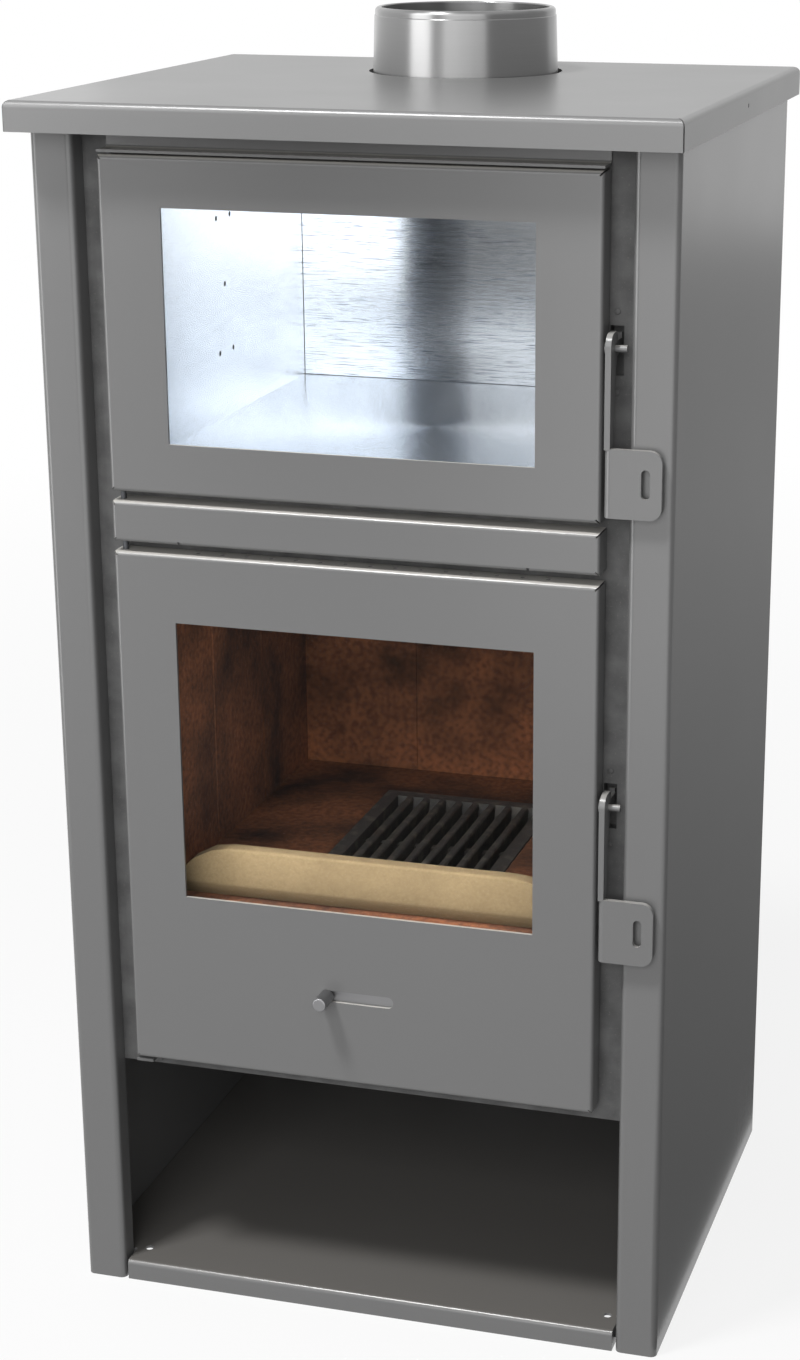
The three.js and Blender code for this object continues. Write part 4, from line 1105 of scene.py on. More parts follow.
def close_tree(tree: Tree, given: dict[Repeated, Socket], instances: Socket) -> None:
    """End a tree: turn its instances to a real mesh with its finish.

    Args:
        tree: The tree.
        given: The sockets of its inputs.
        instances: The instances.
    """
    real = add_node(tree, "GeometryNodeRealizeInstances", [instances])
    painted = {"Geometry": real, "Material": given[Repeated.FINISH]}
    result = add_node(tree, "GeometryNodeSetMaterial", painted)
    add_node(tree, "NodeGroupOutput", {"Result": result})


def row_tree() -> Tree:
    """Build the geometry nodes that set a shape at even steps along a line.

    Returns:
        The tree, which is made the first time.
    """
    made = bpy.data.node_groups.get("row_of_shapes")
    if made:
        return made
    inputs = (Repeated.SHAPE, Repeated.COUNT, Repeated.FIRST, Repeated.STEP, Repeated.FINISH)
    tree, given = new_tree("row_of_shapes", inputs)
    line = {
        "mode": "OFFSET",
        "Count": given[Repeated.COUNT],
        "Start Location": given[Repeated.FIRST],
        "Offset": given[Repeated.STEP],
    }
    spread = {
        "Points": add_node(tree, "GeometryNodeMeshLine", line),
        "Instance": add_node(tree, OBJECT, [given[Repeated.SHAPE]], "Geometry"),
    }
    close_tree(tree, given, add_node(tree, SPREAD, spread))
    return tree


def path_tree() -> Tree:
    """Build the geometry nodes that set a shape at an even pitch along a path, turned with it.

    Returns:
        The tree, which is made the first time.
    """
    made = bpy.data.node_groups.get("shapes_on_path")
    if made:
        return made
    inputs = (Repeated.SHAPE, Repeated.PATH, Repeated.PITCH, Repeated.FINISH)
    tree, given = new_tree("shapes_on_path", inputs)
    path = add_node(tree, OBJECT, [given[Repeated.PATH]], "Geometry")
    curve = add_node(tree, "GeometryNodeMeshToCurve", [path])
    even = {"mode": "LENGTH", "Curve": curve, "Length": given[Repeated.PITCH]}
    along = add_node(tree, "GeometryNodeInputTangent")
    turn = {"axis": "X", "pivot_axis": "Y", "Vector": along}
    spread = {
        "Points": add_node(tree, "GeometryNodeResampleCurve", even),
        "Instance": add_node(tree, OBJECT, [given[Repeated.SHAPE]], "Geometry"),
        "Rotation": add_node(tree, "FunctionNodeAlignRotationToVector", turn),
    }
    close_tree(tree, given, add_node(tree, SPREAD, spread))
    return tree


def grown(tree: Tree, values: dict[Repeated, Any]) -> Solid:
    """Run geometry nodes and keep the result as a plain mesh.

    Args:
        tree: The tree.
        values: What goes into its inputs; an object there is used up.

    Returns:
        The result.
    """
    named = {entry.value[0]: value for entry, value in values.items()}
    carrier = held(bpy.data.meshes.new("carrier"))
    nodes = carrier.modifiers.new("nodes", "NODES")
    nodes.node_group = tree
    for item in tree.interface.items_tree:
        if item.in_out == "INPUT":
            nodes[item.identifier] = named[item.name]
    result = Solid(evaluated(carrier))
    for value in values.values():
        if isinstance(value, bpy.types.Object):
            bpy.data.objects.remove(value)
    return result


def row(shape: Solid, count: int, first: Vector, step: Vector, finish: Finish) -> Solid:
    """Repeat a shape along a line with geometry nodes.

    Args:
        shape: The shape, round the origin.
        count: How many there are.
        first: Where the first one goes.
        step: The way from one to the next.
        finish: The finish that they carry.

    Returns:
        All of them as one plain mesh.
    """
    values = {
        Repeated.SHAPE: held(shape.mesh),
        Repeated.COUNT: count,
        Repeated.FIRST: first,
        Repeated.STEP: step,
        Repeated.FINISH: finish.material(),
    }
    return grown(row_tree(), values)


def along_loop(shape: Solid, corners: Sequence[Vector], pitch: float, finish: Finish) -> Solid:
    """Repeat a shape along a closed path with geometry nodes.

    Args:
        shape: The shape, round the origin, with its length along X.
        corners: The path's corners.
        pitch: How far apart the shapes are.
        finish: The finish that they carry.

    Returns:
        All of them as one plain mesh.
    """
    path = bpy.data.meshes.new("path")
    ends = [(place, (place + 1) % len(corners)) for place in range(len(corners))]
    path.from_pydata(corners, ends, [])
    values = {
        Repeated.SHAPE: held(shape.mesh),
        Repeated.PATH: held(path),
        Repeated.PITCH: pitch,
        Repeated.FINISH: finish.material(),
    }
    return grown(path_tree(), values)


# ---------------------------------------------------------------- body shell
@dataclass
class BodyShell:
    """The two side panels, the top plate with its screws, and the back panel."""

    sheet: float = 2 * MM
    bend: float = 5 * MM
    lip: float = 19 * MM  # how far back the front flange's lip reaches
    rear_return: float = 18 * MM
    top_sheet: float = 3 * MM
    top_bend: float = 5 * MM
    top_slit: float = 0.6 * MM
    flue_play: float = 3 * MM
    hole_play: float = 0.3 * MM
    screw_radius: float = 1.9 * MM
    screw_tip: float = 0.4 * MM
    screw_head: float = 2.4 * MM
    screw_round: float = 1.6 * MM
    recess_half: Pair = (2.2 * MM, 0.45 * MM)  # half the length and half the width of a slot
    recess_depth: float = 1.3 * MM

    def screw_holes(self) -> list[Solid]:
        """Make the cutters for the screws' holes in the panels and the top plate.

        Returns:
            One for each back screw and, last, one across the stove for both top screws.
        """
        holes = []
        for place in ("lower_left", "upper_left", "lower_right", "upper_right"):
            node = f"back_screw_{place}"
            low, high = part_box(node)
            radius = self.screw_radius + self.hole_play
            holes.append(rod(Axis.Y, middle_of(node).xz, radius, (low.y, high.y + OPEN)))
        low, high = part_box("top_plate_screw_left")
        radius = (high.z - low.z) / 2 + self.hole_play
        reach = abs(low.x) + OPEN
        middle = middle_of("top_plate_screw_left")
        holes.append(rod(Axis.X, middle.yz, radius, (-reach, reach)))
        return holes

    def side_panel(self, side: Side) -> None:
        """Fold one side panel: a front flange with its lip, the side and the rear return.

        Args:
            side: The side that it stands on.
        """
        node = f"{side.name.lower()}_side_panel"
        low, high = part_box(node)
        outer, inner = (low.x, high.x) if side is Side.LEFT else (high.x, low.x)
        path = [
            (inner, low.y + self.lip),
            (inner, low.y),
            (outer, low.y),
            (outer, high.y),
            (outer - side.value * self.rear_return, high.y),
        ]
        section = bent_sheet(path if side is Side.RIGHT else path[::-1], self.sheet, self.bend)
        shape = prism(Axis.Z, section, low.z, high.z).minus(*self.screw_holes())
        piece(node, shape, BODY_PAINT)

    def top_plate(self) -> None:
        """Fold the top plate, with the flue's hole and the open mitres at its corners."""
        low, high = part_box("top_plate")
        collar_low, collar_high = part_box("flue_collar")
        radius = (collar_high.x - collar_low.x) / 2 - COLLAR_FOOT + self.flue_play
        middle = middle_of("flue_collar")
        flue = rod(Axis.Z, middle.xy, radius, (low.z, high.z + OPEN), WIDE_SIDES)
        slits = corner_slits(low, high, Axis.Z, self.top_slit, self.top_bend)
        pan = folded_pan(low, high, Axis.Z, End.HIGH, self.top_sheet, self.top_bend)
        piece("top_plate", pan.minus(flue, self.screw_holes()[-1], *slits), TOP_PAINT)

    def back_screws(self) -> None:
        """Turn a pan-head screw, cut its cross recess and set four of them in the back panel."""
        low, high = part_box("back_screw_lower_left")
        length = high.y - low.y
        head_radius = (high.x - low.x) / 2
        neck = length - self.screw_head
        corners = [
            (0, 0),
            (self.screw_radius, 0),
            (self.screw_radius, neck),
            (head_radius, neck),
            (head_radius, length),
            (0, length),
        ]
        outline = rounded(corners, [0, self.screw_tip, 0, 0, self.screw_round, 0])
        reach, half = self.recess_half
        floor = length - self.recess_depth
        slots = [
            block((-a, floor, -b), (a, length + OPEN, b)) for a, b in ((reach, half), (half, reach))
        ]
        screw = turned(Axis.Y, (0, 0), outline, SIDES).minus(*slots)
        middle = middle_of("back_screw_lower_left")
        first = Vector((middle.x, low.y, middle.z))
        far_low, far_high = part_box("back_screw_upper_right")
        pair = row(screw, 2, first, Vector((far_low.x - low.x, 0, 0)), SCREW_STEEL)
        four = row(pair, 2, Vector(), Vector((0, 0, far_high.z - high.z)), SCREW_STEEL)
        nodes = [
            f"back_screw_{end}_{side}" for end in ("lower", "upper") for side in ("left", "right")
        ]
        made = softened(four.mesh, FINE_EDGE)
        mounted("back_screws.dressed", made, SCREW_STEEL, Body.STOVE, nodes)

    def build(self) -> None:
        """Build every piece of the shell."""
        for side in Side:
            self.side_panel(side)
            refined(f"top_plate_screw_{side.name.lower()}", DARK_STEEL)
        self.top_plate()
        refined("back_panel", DARK_STEEL)
        self.back_screws()


@dataclass
class FlueCollar:
    """The spun steel collar that the flue pipe goes over. It narrows towards its beaded rim."""

    wall: float = 5 * MM
    foot_height: float = 4 * MM
    weld: float = 2.5 * MM
    narrowing: float = 2.4 * MM  # from the foot to the rim, on the radius
    rim: float = 3.2 * MM
    bore_edge: float = 1 * MM
    shoulder_drop: float = 6 * MM  # below the rim
    shoulder: float = 0.6 * MM  # how far the wall steps in
    shoulder_round: float = 0.2 * MM

    def build(self) -> None:
        """Turn the collar, with a beaded rim and a weld at its foot."""
        low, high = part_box("flue_collar")
        outer = (high.x - low.x) / 2 - COLLAR_FOOT
        wall_foot = low.z + self.foot_height
        rim_radius = outer - self.narrowing
        shoulder_top = high.z - self.shoulder_drop
        corners = [
            (outer - self.wall, low.z),
            (outer + COLLAR_FOOT, low.z),
            (outer + COLLAR_FOOT, wall_foot),
            (outer, wall_foot),
            (rim_radius + self.shoulder, shoulder_top - self.shoulder),
            (rim_radius, shoulder_top),
            (rim_radius, high.z),
            (rim_radius - self.wall, high.z),
        ]
        soft = self.shoulder_round
        profile = rounded(corners, [0, 0, soft, self.weld, soft, soft, self.rim, self.bore_edge])
        shape = turned(Axis.Z, middle_of("flue_collar").xy, profile, WIDE_SIDES)
        piece("flue_collar", shape, COLLAR_STEEL)


# ---------------------------------------------------------------- front
@dataclass
class Front:
    """The frame behind the doors, the rails between them and the pockets for the latches."""

    sheet: float = 2 * MM
    bend: float = 3 * MM
    air_margin: float = 52.9 * MM
    relief: float = 2.5 * MM
    relief_depth: float = 4 * MM
    rivet_radius: float = 2.4 * MM
    rivet_head: float = 0.8 * MM
    rivet_shank: float = 1.2 * MM
    rivet_length: float = 1.12 * MM  # of the head and the shank together
    rivet_heights: Pair = (-34 * MM, 23.6 * MM)  # from the lever's pivot
    rivet_steps: int = 6

    def fascia(self) -> None:
        """Fold the rail between the doors, whose lower edge is cut away for the air."""
        low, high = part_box("middle_fascia")
        pan = folded_pan(low, high, Axis.Y, End.LOW, self.sheet, self.bend)
        half = high.x - self.air_margin
        air_gap = block(
            (-half, low.y + self.sheet, low.z - OPEN),
            (half, high.y + OPEN, low.z + self.sheet + OPEN),
        )
        notch = self.relief / 2
        reliefs = [
            block(
                (x - notch, low.y - OPEN, low.z - OPEN),
                (x + notch, low.y + self.relief_depth, low.z + self.relief),
            )
            for x in (-half, half)
        ]
        pin = middle_of("fire_hinge_pin_upper")
        hole = rod(Axis.Z, pin.xy, HINGE_HOLE_RADIUS, (low.z - OPEN, high.z + OPEN))
        slits = corner_slits(low, high, Axis.Y, SHEET_SLIT, self.bend)
        piece("middle_fascia", pan.minus(air_gap, *reliefs, hole, *slits), BODY_PAINT)

    def pocket(self, place: str, word: str) -> None:
        """Give a latch pocket two domed rivets in place of its flat heads.

        Args:
            place: Where the pocket is, upper or lower.
            word: The door whose lever it takes.
        """
        node = f"{place}_latch_pocket"
        low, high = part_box(node)
        beyond = Vector((OPEN, OPEN, OPEN))
        heads = block(low - beyond, (high.x + OPEN, low.y + self.rivet_head, high.z + OPEN))
        bare = packed_shape(node).minus(heads)
        turns = [math.pi / 2 * step / self.rivet_steps for step in range(self.rivet_steps + 1)]
        profile = [
            *(
                (self.rivet_radius * math.sin(turn), self.rivet_head * (1 - math.cos(turn)))
                for turn in turns
            ),
            (self.rivet_shank, self.rivet_head),
            (self.rivet_shank, self.rivet_length),
            (0, self.rivet_length),
        ]
        rivet = turned(Axis.Y, (0, 0), profile, SMALL_SIDES)
        lower, upper = self.rivet_heights
        pivot = middle_of(f"{word}_latch_pivot")
        first = Vector(((low.x + high.x) / 2, low.y, pivot.z + lower))
        rivets = row(rivet, 2, first, Vector((0, 0, upper - lower)), FRAME_PAINT)
        piece(node, bare.plus(rivets), FRAME_PAINT, edge=FINE_EDGE)

    def build(self) -> None:
        """Build every piece of the front."""
        self.fascia()
        refined("face_frame", FRAME_PAINT)
        refined("upper_hinge_rail", BODY_PAINT)
        refined("lower_hinge_tab", FRAME_PAINT)
        self.pocket("upper", "oven")
        self.pocket("lower", "fire")


class LogStore:
    """The open log store: its tray, the heat shield above it and the rails that carry it."""

    def build(self) -> None:
        """Build every piece of the log store."""
        refined("log_tray", TRAY_PAINT)
        refined("heat_shield", FRAME_PAINT)
        for side in Side:
            refined(f"support_rail_{side.name.lower()}", FRAME_PAINT)


# ---------------------------------------------------------------- oven and firebox
@dataclass
class Oven:
    """The stainless liner of the oven and its back plate."""

    hole_radius: float = 2.1 * MM
    hole_reach: Pair = (14.6 * MM, 53.4 * MM)  # from the middle hole to the four others
    plate_edge: float = 0.2 * MM

    def liner(self) -> None:
        """Punch the holes of the shelf supports through both walls of the liner."""
        low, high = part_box("oven_liner")
        middle = Vector((0, (low.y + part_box("oven_back_plate")[0].y) / 2, (low.z + high.z) / 2))
        across, up = self.hole_reach
        through = (low.x - OPEN, high.x + OPEN)
        punch = rod(Axis.X, (0, 0), self.hole_radius, through, SMALL_SIDES)
        pair = row(punch, 2, Vector((0, -across, -up)), Vector((0, 2 * across, 0)), OVEN_STEEL)
        four = row(pair, 2, middle, Vector((0, 0, 2 * up)), OVEN_STEEL)
        fifth = row(punch, 1, middle, Vector(), OVEN_STEEL)
        shape = packed_shape("oven_liner").minus(four, fifth)
        piece("oven_liner", shape, OVEN_STEEL, edge=FINE_EDGE)

    def build(self) -> None:
        """Build the liner and the plate."""
        self.liner()
        refined("oven_back_plate", OVEN_BACK_STEEL, edge=self.plate_edge)


@dataclass
class Firebox:
    """The inner case with its bricks, grate, log guard, baffle and ash pan."""

    brick_edge: float = 1.5 * MM
    board_edge: float = 1 * MM
    joint_edge: float = 0.6 * MM
    grate_rim: float = 12 * MM
    grate_slots: int = 9
    bar_top: float = 7 * MM
    bar_foot: float = 4.5 * MM
    bar_round: float = 2 * MM
    rib_width: float = 8 * MM
    rib_heights: Pair = (0.5 * MM, 5 * MM)  # above the grate's underside
    joint: Pair = (1.2 * MM, 2 * MM)  # the width and the depth of a joint between two bricks
    bricks_across: int = 3

    def grate(self) -> None:
        """Cast the grate: a rim, tapered bars from front to back, and a rib that carries them."""
        low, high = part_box("fire_grate")
        inset = Vector((self.grate_rim, self.grate_rim, -OPEN))
        inner_low, inner_high = low + inset, high - inset
        rim = block(low, high).minus(block(inner_low, inner_high))
        pitch = (inner_high.x - inner_low.x + self.bar_top) / self.grate_slots
        top, foot = self.bar_top / 2, self.bar_foot / 2
        section = rounded(
            [(-foot, low.z), (foot, low.z), (top, high.z), (-top, high.z)],
            [0, 0, self.bar_round, self.bar_round],
        )
        bar = prism(Axis.Y, section, inner_low.y - OPEN, inner_high.y + OPEN)
        first = Vector((inner_low.x + pitch - top, 0, 0))
        bars = row(bar, self.grate_slots - 1, first, Vector((pitch, 0, 0)), GRATE_IRON)
        half = self.rib_width / 2
        middle = (low.y + high.y) / 2
        rib_foot, rib_top = self.rib_heights
        rib = block(
            (inner_low.x - OPEN, middle - half, low.z + rib_foot),
            (inner_high.x + OPEN, middle + half, low.z + rib_top),
        )
        piece("fire_grate", rim.plus(bars, rib), GRATE_IRON)

    def bricks(self, node: str, along: Axis, face: float) -> None:
        """Cut the joints between the bricks of one wall.

        Args:
            node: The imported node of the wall.
            along: The level axis that the wall runs along.
            face: Where its face to the fire stands, on the other level axis.
        """
        low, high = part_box(node)
        across = Axis.Y if along is Axis.X else Axis.X
        half = Vector((0, 0, (high.z - low.z) / 2 + OPEN))
        half[along.value] = self.joint[0] / 2
        half[across.value] = self.joint[1]
        step = Vector()
        step[along.value] = (high[along.value] - low[along.value]) / self.bricks_across
        first = (low + high) / 2
        first[along.value] = low[along.value] + step[along.value]
        first[across.value] = face
        joints = row(block(-half, half), self.bricks_across - 1, first, step, FIREBRICK)
        piece(node, packed_shape(node).minus(joints), FIREBRICK, edge=self.joint_edge)

    def build(self) -> None:
        """Build every piece of the firebox."""
        for node in ("case_wrap", "case_top_plate", "case_floor", "grate_plate", "ash_pan"):
            refined(node, DARK_STEEL)
        refined("hearth_brick", FIREBRICK, edge=self.brick_edge)
        self.bricks("side_brick_left", Axis.Y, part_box("side_brick_left")[1].x)
        self.bricks("side_brick_right", Axis.Y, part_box("side_brick_right")[0].x)
        self.bricks("back_brick", Axis.X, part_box("back_brick")[0].y)
        self.grate()
        for node in ("log_guard", "smoke_baffle"):
            refined(node, VERMICULITE, edge=self.board_edge)


# ---------------------------------------------------------------- doors
@dataclass
class GlazedDoor:
    """A door: a folded panel, its glass and retainers, the inner frame, the seal and the pins."""

    word: str = "oven"
    body: Body = Body.OVEN_DOOR
    sheet: float = 2.5 * MM
    bend: float = 3.2 * MM
    glass_overlap: float = 8 * MM
    glass_edge: float = 0.5 * MM
    pivot_radius: float = 2.9 * MM
    rope_width: float = 10 * MM
    rope_lay: float = 0.7 * MM  # how far the strands stand out of the rope's core
    rope_pitch: float = 4.2 * MM
    strand_reach: Triple = (3.9 * MM, 1.2 * MM, 1.5 * MM)
    strand_slant: float = 38.0  # degrees

    def openings(self) -> list[Solid]:
        """Make the cutters that this kind of door has beside its window."""
        return []

    def panel(self) -> None:
        """Fold the door's panel and cut its window and holes."""
        node = f"{self.word}_door_panel"
        low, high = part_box(node)
        glass_low, glass_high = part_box(f"{self.word}_door_glass")
        lap = self.glass_overlap
        window = block(
            (glass_low.x + lap, low.y - OPEN, glass_low.z + lap),
            (glass_high.x - lap, low.y + self.sheet + OPEN, glass_high.z - lap),
        )
        pin = middle_of(f"{self.word}_hinge_pin_upper")
        pin_hole = rod(Axis.Z, pin.xy, HINGE_HOLE_RADIUS, (low.z - OPEN, high.z + OPEN))
        pivot = middle_of(f"{self.word}_latch_pivot")
        side_ends = (high.x - self.bend - OPEN, high.x + OPEN)
        pivot_hole = rod(Axis.X, pivot.yz, self.pivot_radius, side_ends)
        slits = corner_slits(low, high, Axis.Y, SHEET_SLIT, self.bend)
        pan = folded_pan(low, high, Axis.Y, End.LOW, self.sheet, self.bend)
        shape = pan.minus(window, pin_hole, pivot_hole, *slits, *self.openings())
        piece(node, shape, BODY_PAINT, self.body)

    def seal(self) -> None:
        """Lay the braided rope round the inner frame: its core, and the strands that show."""
        node = f"{self.word}_door_seal"
        low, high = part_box(node)
        lay, width = self.rope_lay, self.rope_width
        inset = Vector((lay, 0, lay))
        through = Vector((width - lay, -OPEN, width - lay))
        core_high = high - inset - Vector((0, lay, 0))
        core = block(low + inset, core_high).minus(block(low + through, high - through))
        side = width / 2 - self.strand_reach[1]
        back = (high.y - low.y) / 2 - self.strand_reach[1]
        slant = self.strand_slant
        flat = Vector(self.strand_reach)
        strands = [
            strand(Vector((0, back, side / 2)), flat, Vector((0, slant, 0))),
            strand(Vector((0, back, -side / 2)), flat, Vector((0, -slant, 0))),
            strand(Vector((0, 0, side)), flat.xzy, Vector((0, 0, slant))),
            strand(Vector((0, 0, -side)), flat.xzy, Vector((0, 0, slant))),
        ]
        middle = (low + high) / 2
        reach = (high - low) / 2 - Vector((width / 2, 0, width / 2))
        corners = rectangle((-reach.x, -reach.z), (reach.x, reach.z))
        loop = [middle + Vector((x, 0, z)) for x, z in corners]
        braid = along_loop(Solid(gathered(strands)), loop, self.rope_pitch, SEAL_ROPE)
        rope = gathered([softened(core.mesh, lay), braid.mesh])
        mounted(f"{node}.dressed", rope, SEAL_ROPE, self.body, [node])

    def build(self) -> None:
        """Build every piece of the door."""
        self.panel()
        refined(f"{self.word}_door_glass", DOOR_GLASS, self.body, self.glass_edge)
        for end in ("top", "bottom"):
            refined(f"{self.word}_glass_retainer_{end}", FRAME_PAINT, self.body)
        refined(f"{self.word}_door_inner_frame", FRAME_PAINT, self.body)
        self.seal()
        for end in ("upper", "lower"):
            refined(f"{self.word}_hinge_pin_{end}", DARK_STEEL, self.body, PIN_EDGE)
        refined(f"{self.word}_latch_pivot", LEVER_PAINT, self.body, PIN_EDGE)


@dataclass
class FireDoor(GlazedDoor):
    """The firebox door, which also carries the air slot and a row of air holes."""

    word: str = "fire"
    body: Body = Body.FIRE_DOOR
    slot_half: Pair = (29 * MM, 4.7 * MM)  # half the slot's width and half its height
    air_holes: int = 15
    air_pitch: float = 19.3 * MM
    air_middle: float = 11.9 * MM
    air_radius: float = 1.6 * MM
    air_sides: int = 20
    air_depth: float = 11 * MM

    def openings(self) -> list[Solid]:
        """Make the cutters for the air slot and for the row of air holes.

        Returns:
            The slot's cutter, and one that cuts all the holes.
        """
        low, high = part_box(f"{self.word}_door_panel")
        middle = Vector((0, middle_of("air_slider_knob").z))
        half = Vector(self.slot_half)
        corners = rectangle(middle - half, middle + half)
        outline = rounded(corners, [half.y * NEARLY_ROUND] * len(corners))
        slot = prism(Axis.Y, outline, low.y - OPEN, low.y + self.sheet + OPEN)
        ends = (-self.sheet - OPEN, OPEN)
        hole = rod(Axis.Z, (0, 0), self.air_radius, ends, self.air_sides)
        start = self.air_middle - (self.air_holes - 1) / 2 * self.air_pitch
        first = Vector((start, low.y + self.air_depth, high.z))
        holes = row(hole, self.air_holes, first, Vector((self.air_pitch, 0, 0)), BODY_PAINT)
        return [slot, holes]

    def build(self) -> None:
        """Build every piece of the door, and the register that guides the slider."""
        super().build()
        refined("air_register", FRAME_PAINT, self.body)


@dataclass
class LatchLever:
    """A latch lever cut from thick sheet, whose lower end is folded to a grip."""

    word: str
    body: Body
    sheet: float = 4.2 * MM
    depth: float = 12.5 * MM
    head_back: float = 6.5 * MM
    head_round: float = 9 * MM
    head_corner: float = 3 * MM
    gusset: float = 28 * MM
    bend: float = 4.5 * MM
    grip_height: float = 49.7 * MM
    grip_round: float = 9 * MM
    slot_half: Pair = (3.2 * MM, 10.7 * MM)  # half the slot's width and half its height
    slot_lift: float = 0.7 * MM  # above the grip's middle
    slot_edge: float = 11.8 * MM
    hook_top: float = 8 * MM
    hook_neck: float = 4.5 * MM
    hook_tip: float = 3.2 * MM
    hook_round: float = 1 * MM
    hook_bottom: float = 2 * MM
    pivot_radius: float = 3 * MM
    edge: float = 0.5 * MM

    def build(self) -> None:
        """Cut the arm with its head and hook, fold the grip and cut its slot."""
        node = f"{self.word}_latch_lever"
        low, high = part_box(node)
        pivot = middle_of(f"{self.word}_latch_pivot")
        left, right = low.x, low.x + self.sheet
        front, back = low.y, low.y + self.depth
        head_back = pivot.y + self.head_back
        tip = high.y
        grip_top = low.z + self.grip_height
        corners = [
            (front, grip_top - OPEN),
            (back, grip_top - OPEN),
            (back, pivot.z - self.gusset),
            (head_back, pivot.z - self.head_back),
            (tip, pivot.z - self.hook_bottom),
            (tip, pivot.z + self.hook_top),
            (tip - self.hook_tip, pivot.z + self.hook_top),
            (tip - self.hook_tip, pivot.z + self.hook_neck),
            (head_back, pivot.z + self.hook_neck),
            (head_back, high.z),
            (front, high.z),
        ]
        hook_radii = [self.hook_round, self.hook_round, 0, 0, 0]
        radii = [0, 0, 0, 0, *hook_radii, self.head_corner, self.head_round]
        arm = prism(Axis.X, rounded(corners, radii), left, right)
        plan = bent_sheet([(left, back), (left, front), (high.x, front)], self.sheet, self.bend)
        grip = prism(Axis.Z, plan, low.z, grip_top)
        face = rounded(
            rectangle((left, low.z), (high.x, grip_top)), [0, self.grip_round, self.grip_round, 0]
        )
        grip = grip.within(prism(Axis.Y, face, front - OPEN, back + OPEN))
        middle = Vector((high.x - self.slot_edge, (low.z + grip_top) / 2 + self.slot_lift))
        half = Vector(self.slot_half)
        corners = rectangle(middle - half, middle + half)
        outline = rounded(corners, [half.x * NEARLY_ROUND] * len(corners))
        slot = prism(Axis.Y, outline, front - OPEN, back)
        hole = rod(Axis.X, pivot.yz, self.pivot_radius, (left - OPEN, right + OPEN))
        piece(node, arm.plus(grip).minus(slot, hole), LEVER_PAINT, self.body, self.edge)


@dataclass
class AirSlider:
    """The plate that slides behind the door and the turned knob that moves it."""

    neck: float = 3.7 * MM
    front_round: float = 1.2 * MM
    back_round: float = 0.3 * MM
    door_gap: float = 0.3 * MM

    def build(self) -> None:
        """Turn the knob and refine the plate."""
        node = "air_slider_knob"
        low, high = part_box(node)
        radius = (high.x - low.x) / 2
        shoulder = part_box("fire_door_panel")[0].y - self.door_gap
        corners = [
            (0, low.y),
            (radius, low.y),
            (radius, shoulder),
            (self.neck, shoulder),
            (self.neck, high.y),
            (0, high.y),
        ]
        profile = rounded(corners, [0, self.front_round, self.back_round, 0, 0, 0])
        shape = turned(Axis.Y, middle_of(node).xz, profile, 2 * SIDES)
        piece(node, shape, KNOB_STEEL, Body.AIR_SLIDER)
        refined("air_slider_plate", KNOB_STEEL, Body.AIR_SLIDER)


# ---------------------------------------------------------------- studio
@dataclass(frozen=True)
class Card:
    """A standing card that only gloss and glass see, as a product studio has them."""

    name: str
    turn: Pair  # where it starts and ends, in degrees to the right of the front
    heights: Pair  # its lower and its upper edge
    level: float  # how bright it looks; 1 is white


@dataclass(frozen=True)
class Lamp:
    """A soft square lamp that shines on the middle of the stove."""

    name: str
    toward: Triple  # the direction from the stove to the lamp
    away: float  # how far off it hangs
    size: float  # the side of its face
    level: float  # how bright it shows a white card that faces it, from 0 to 1

    def hang(self, aim: Vector) -> None:
        """Hang the lamp.

        Args:
            aim: The point that it shines on.
        """
        light = bpy.data.lights.new(self.name, "AREA")
        light.shape = "SQUARE"
        light.size = self.size
        light.energy = (math.pi * self.away) ** 2 * self.level
        hung = bpy.data.objects.new(self.name, light)
        direction = Vector(self.toward).normalized()
        hung.location = aim + direction * self.away
        hung.rotation_euler = direction.to_track_quat("Z", "Y").to_euler()
        bpy.context.scene.collection.objects.link(hung)


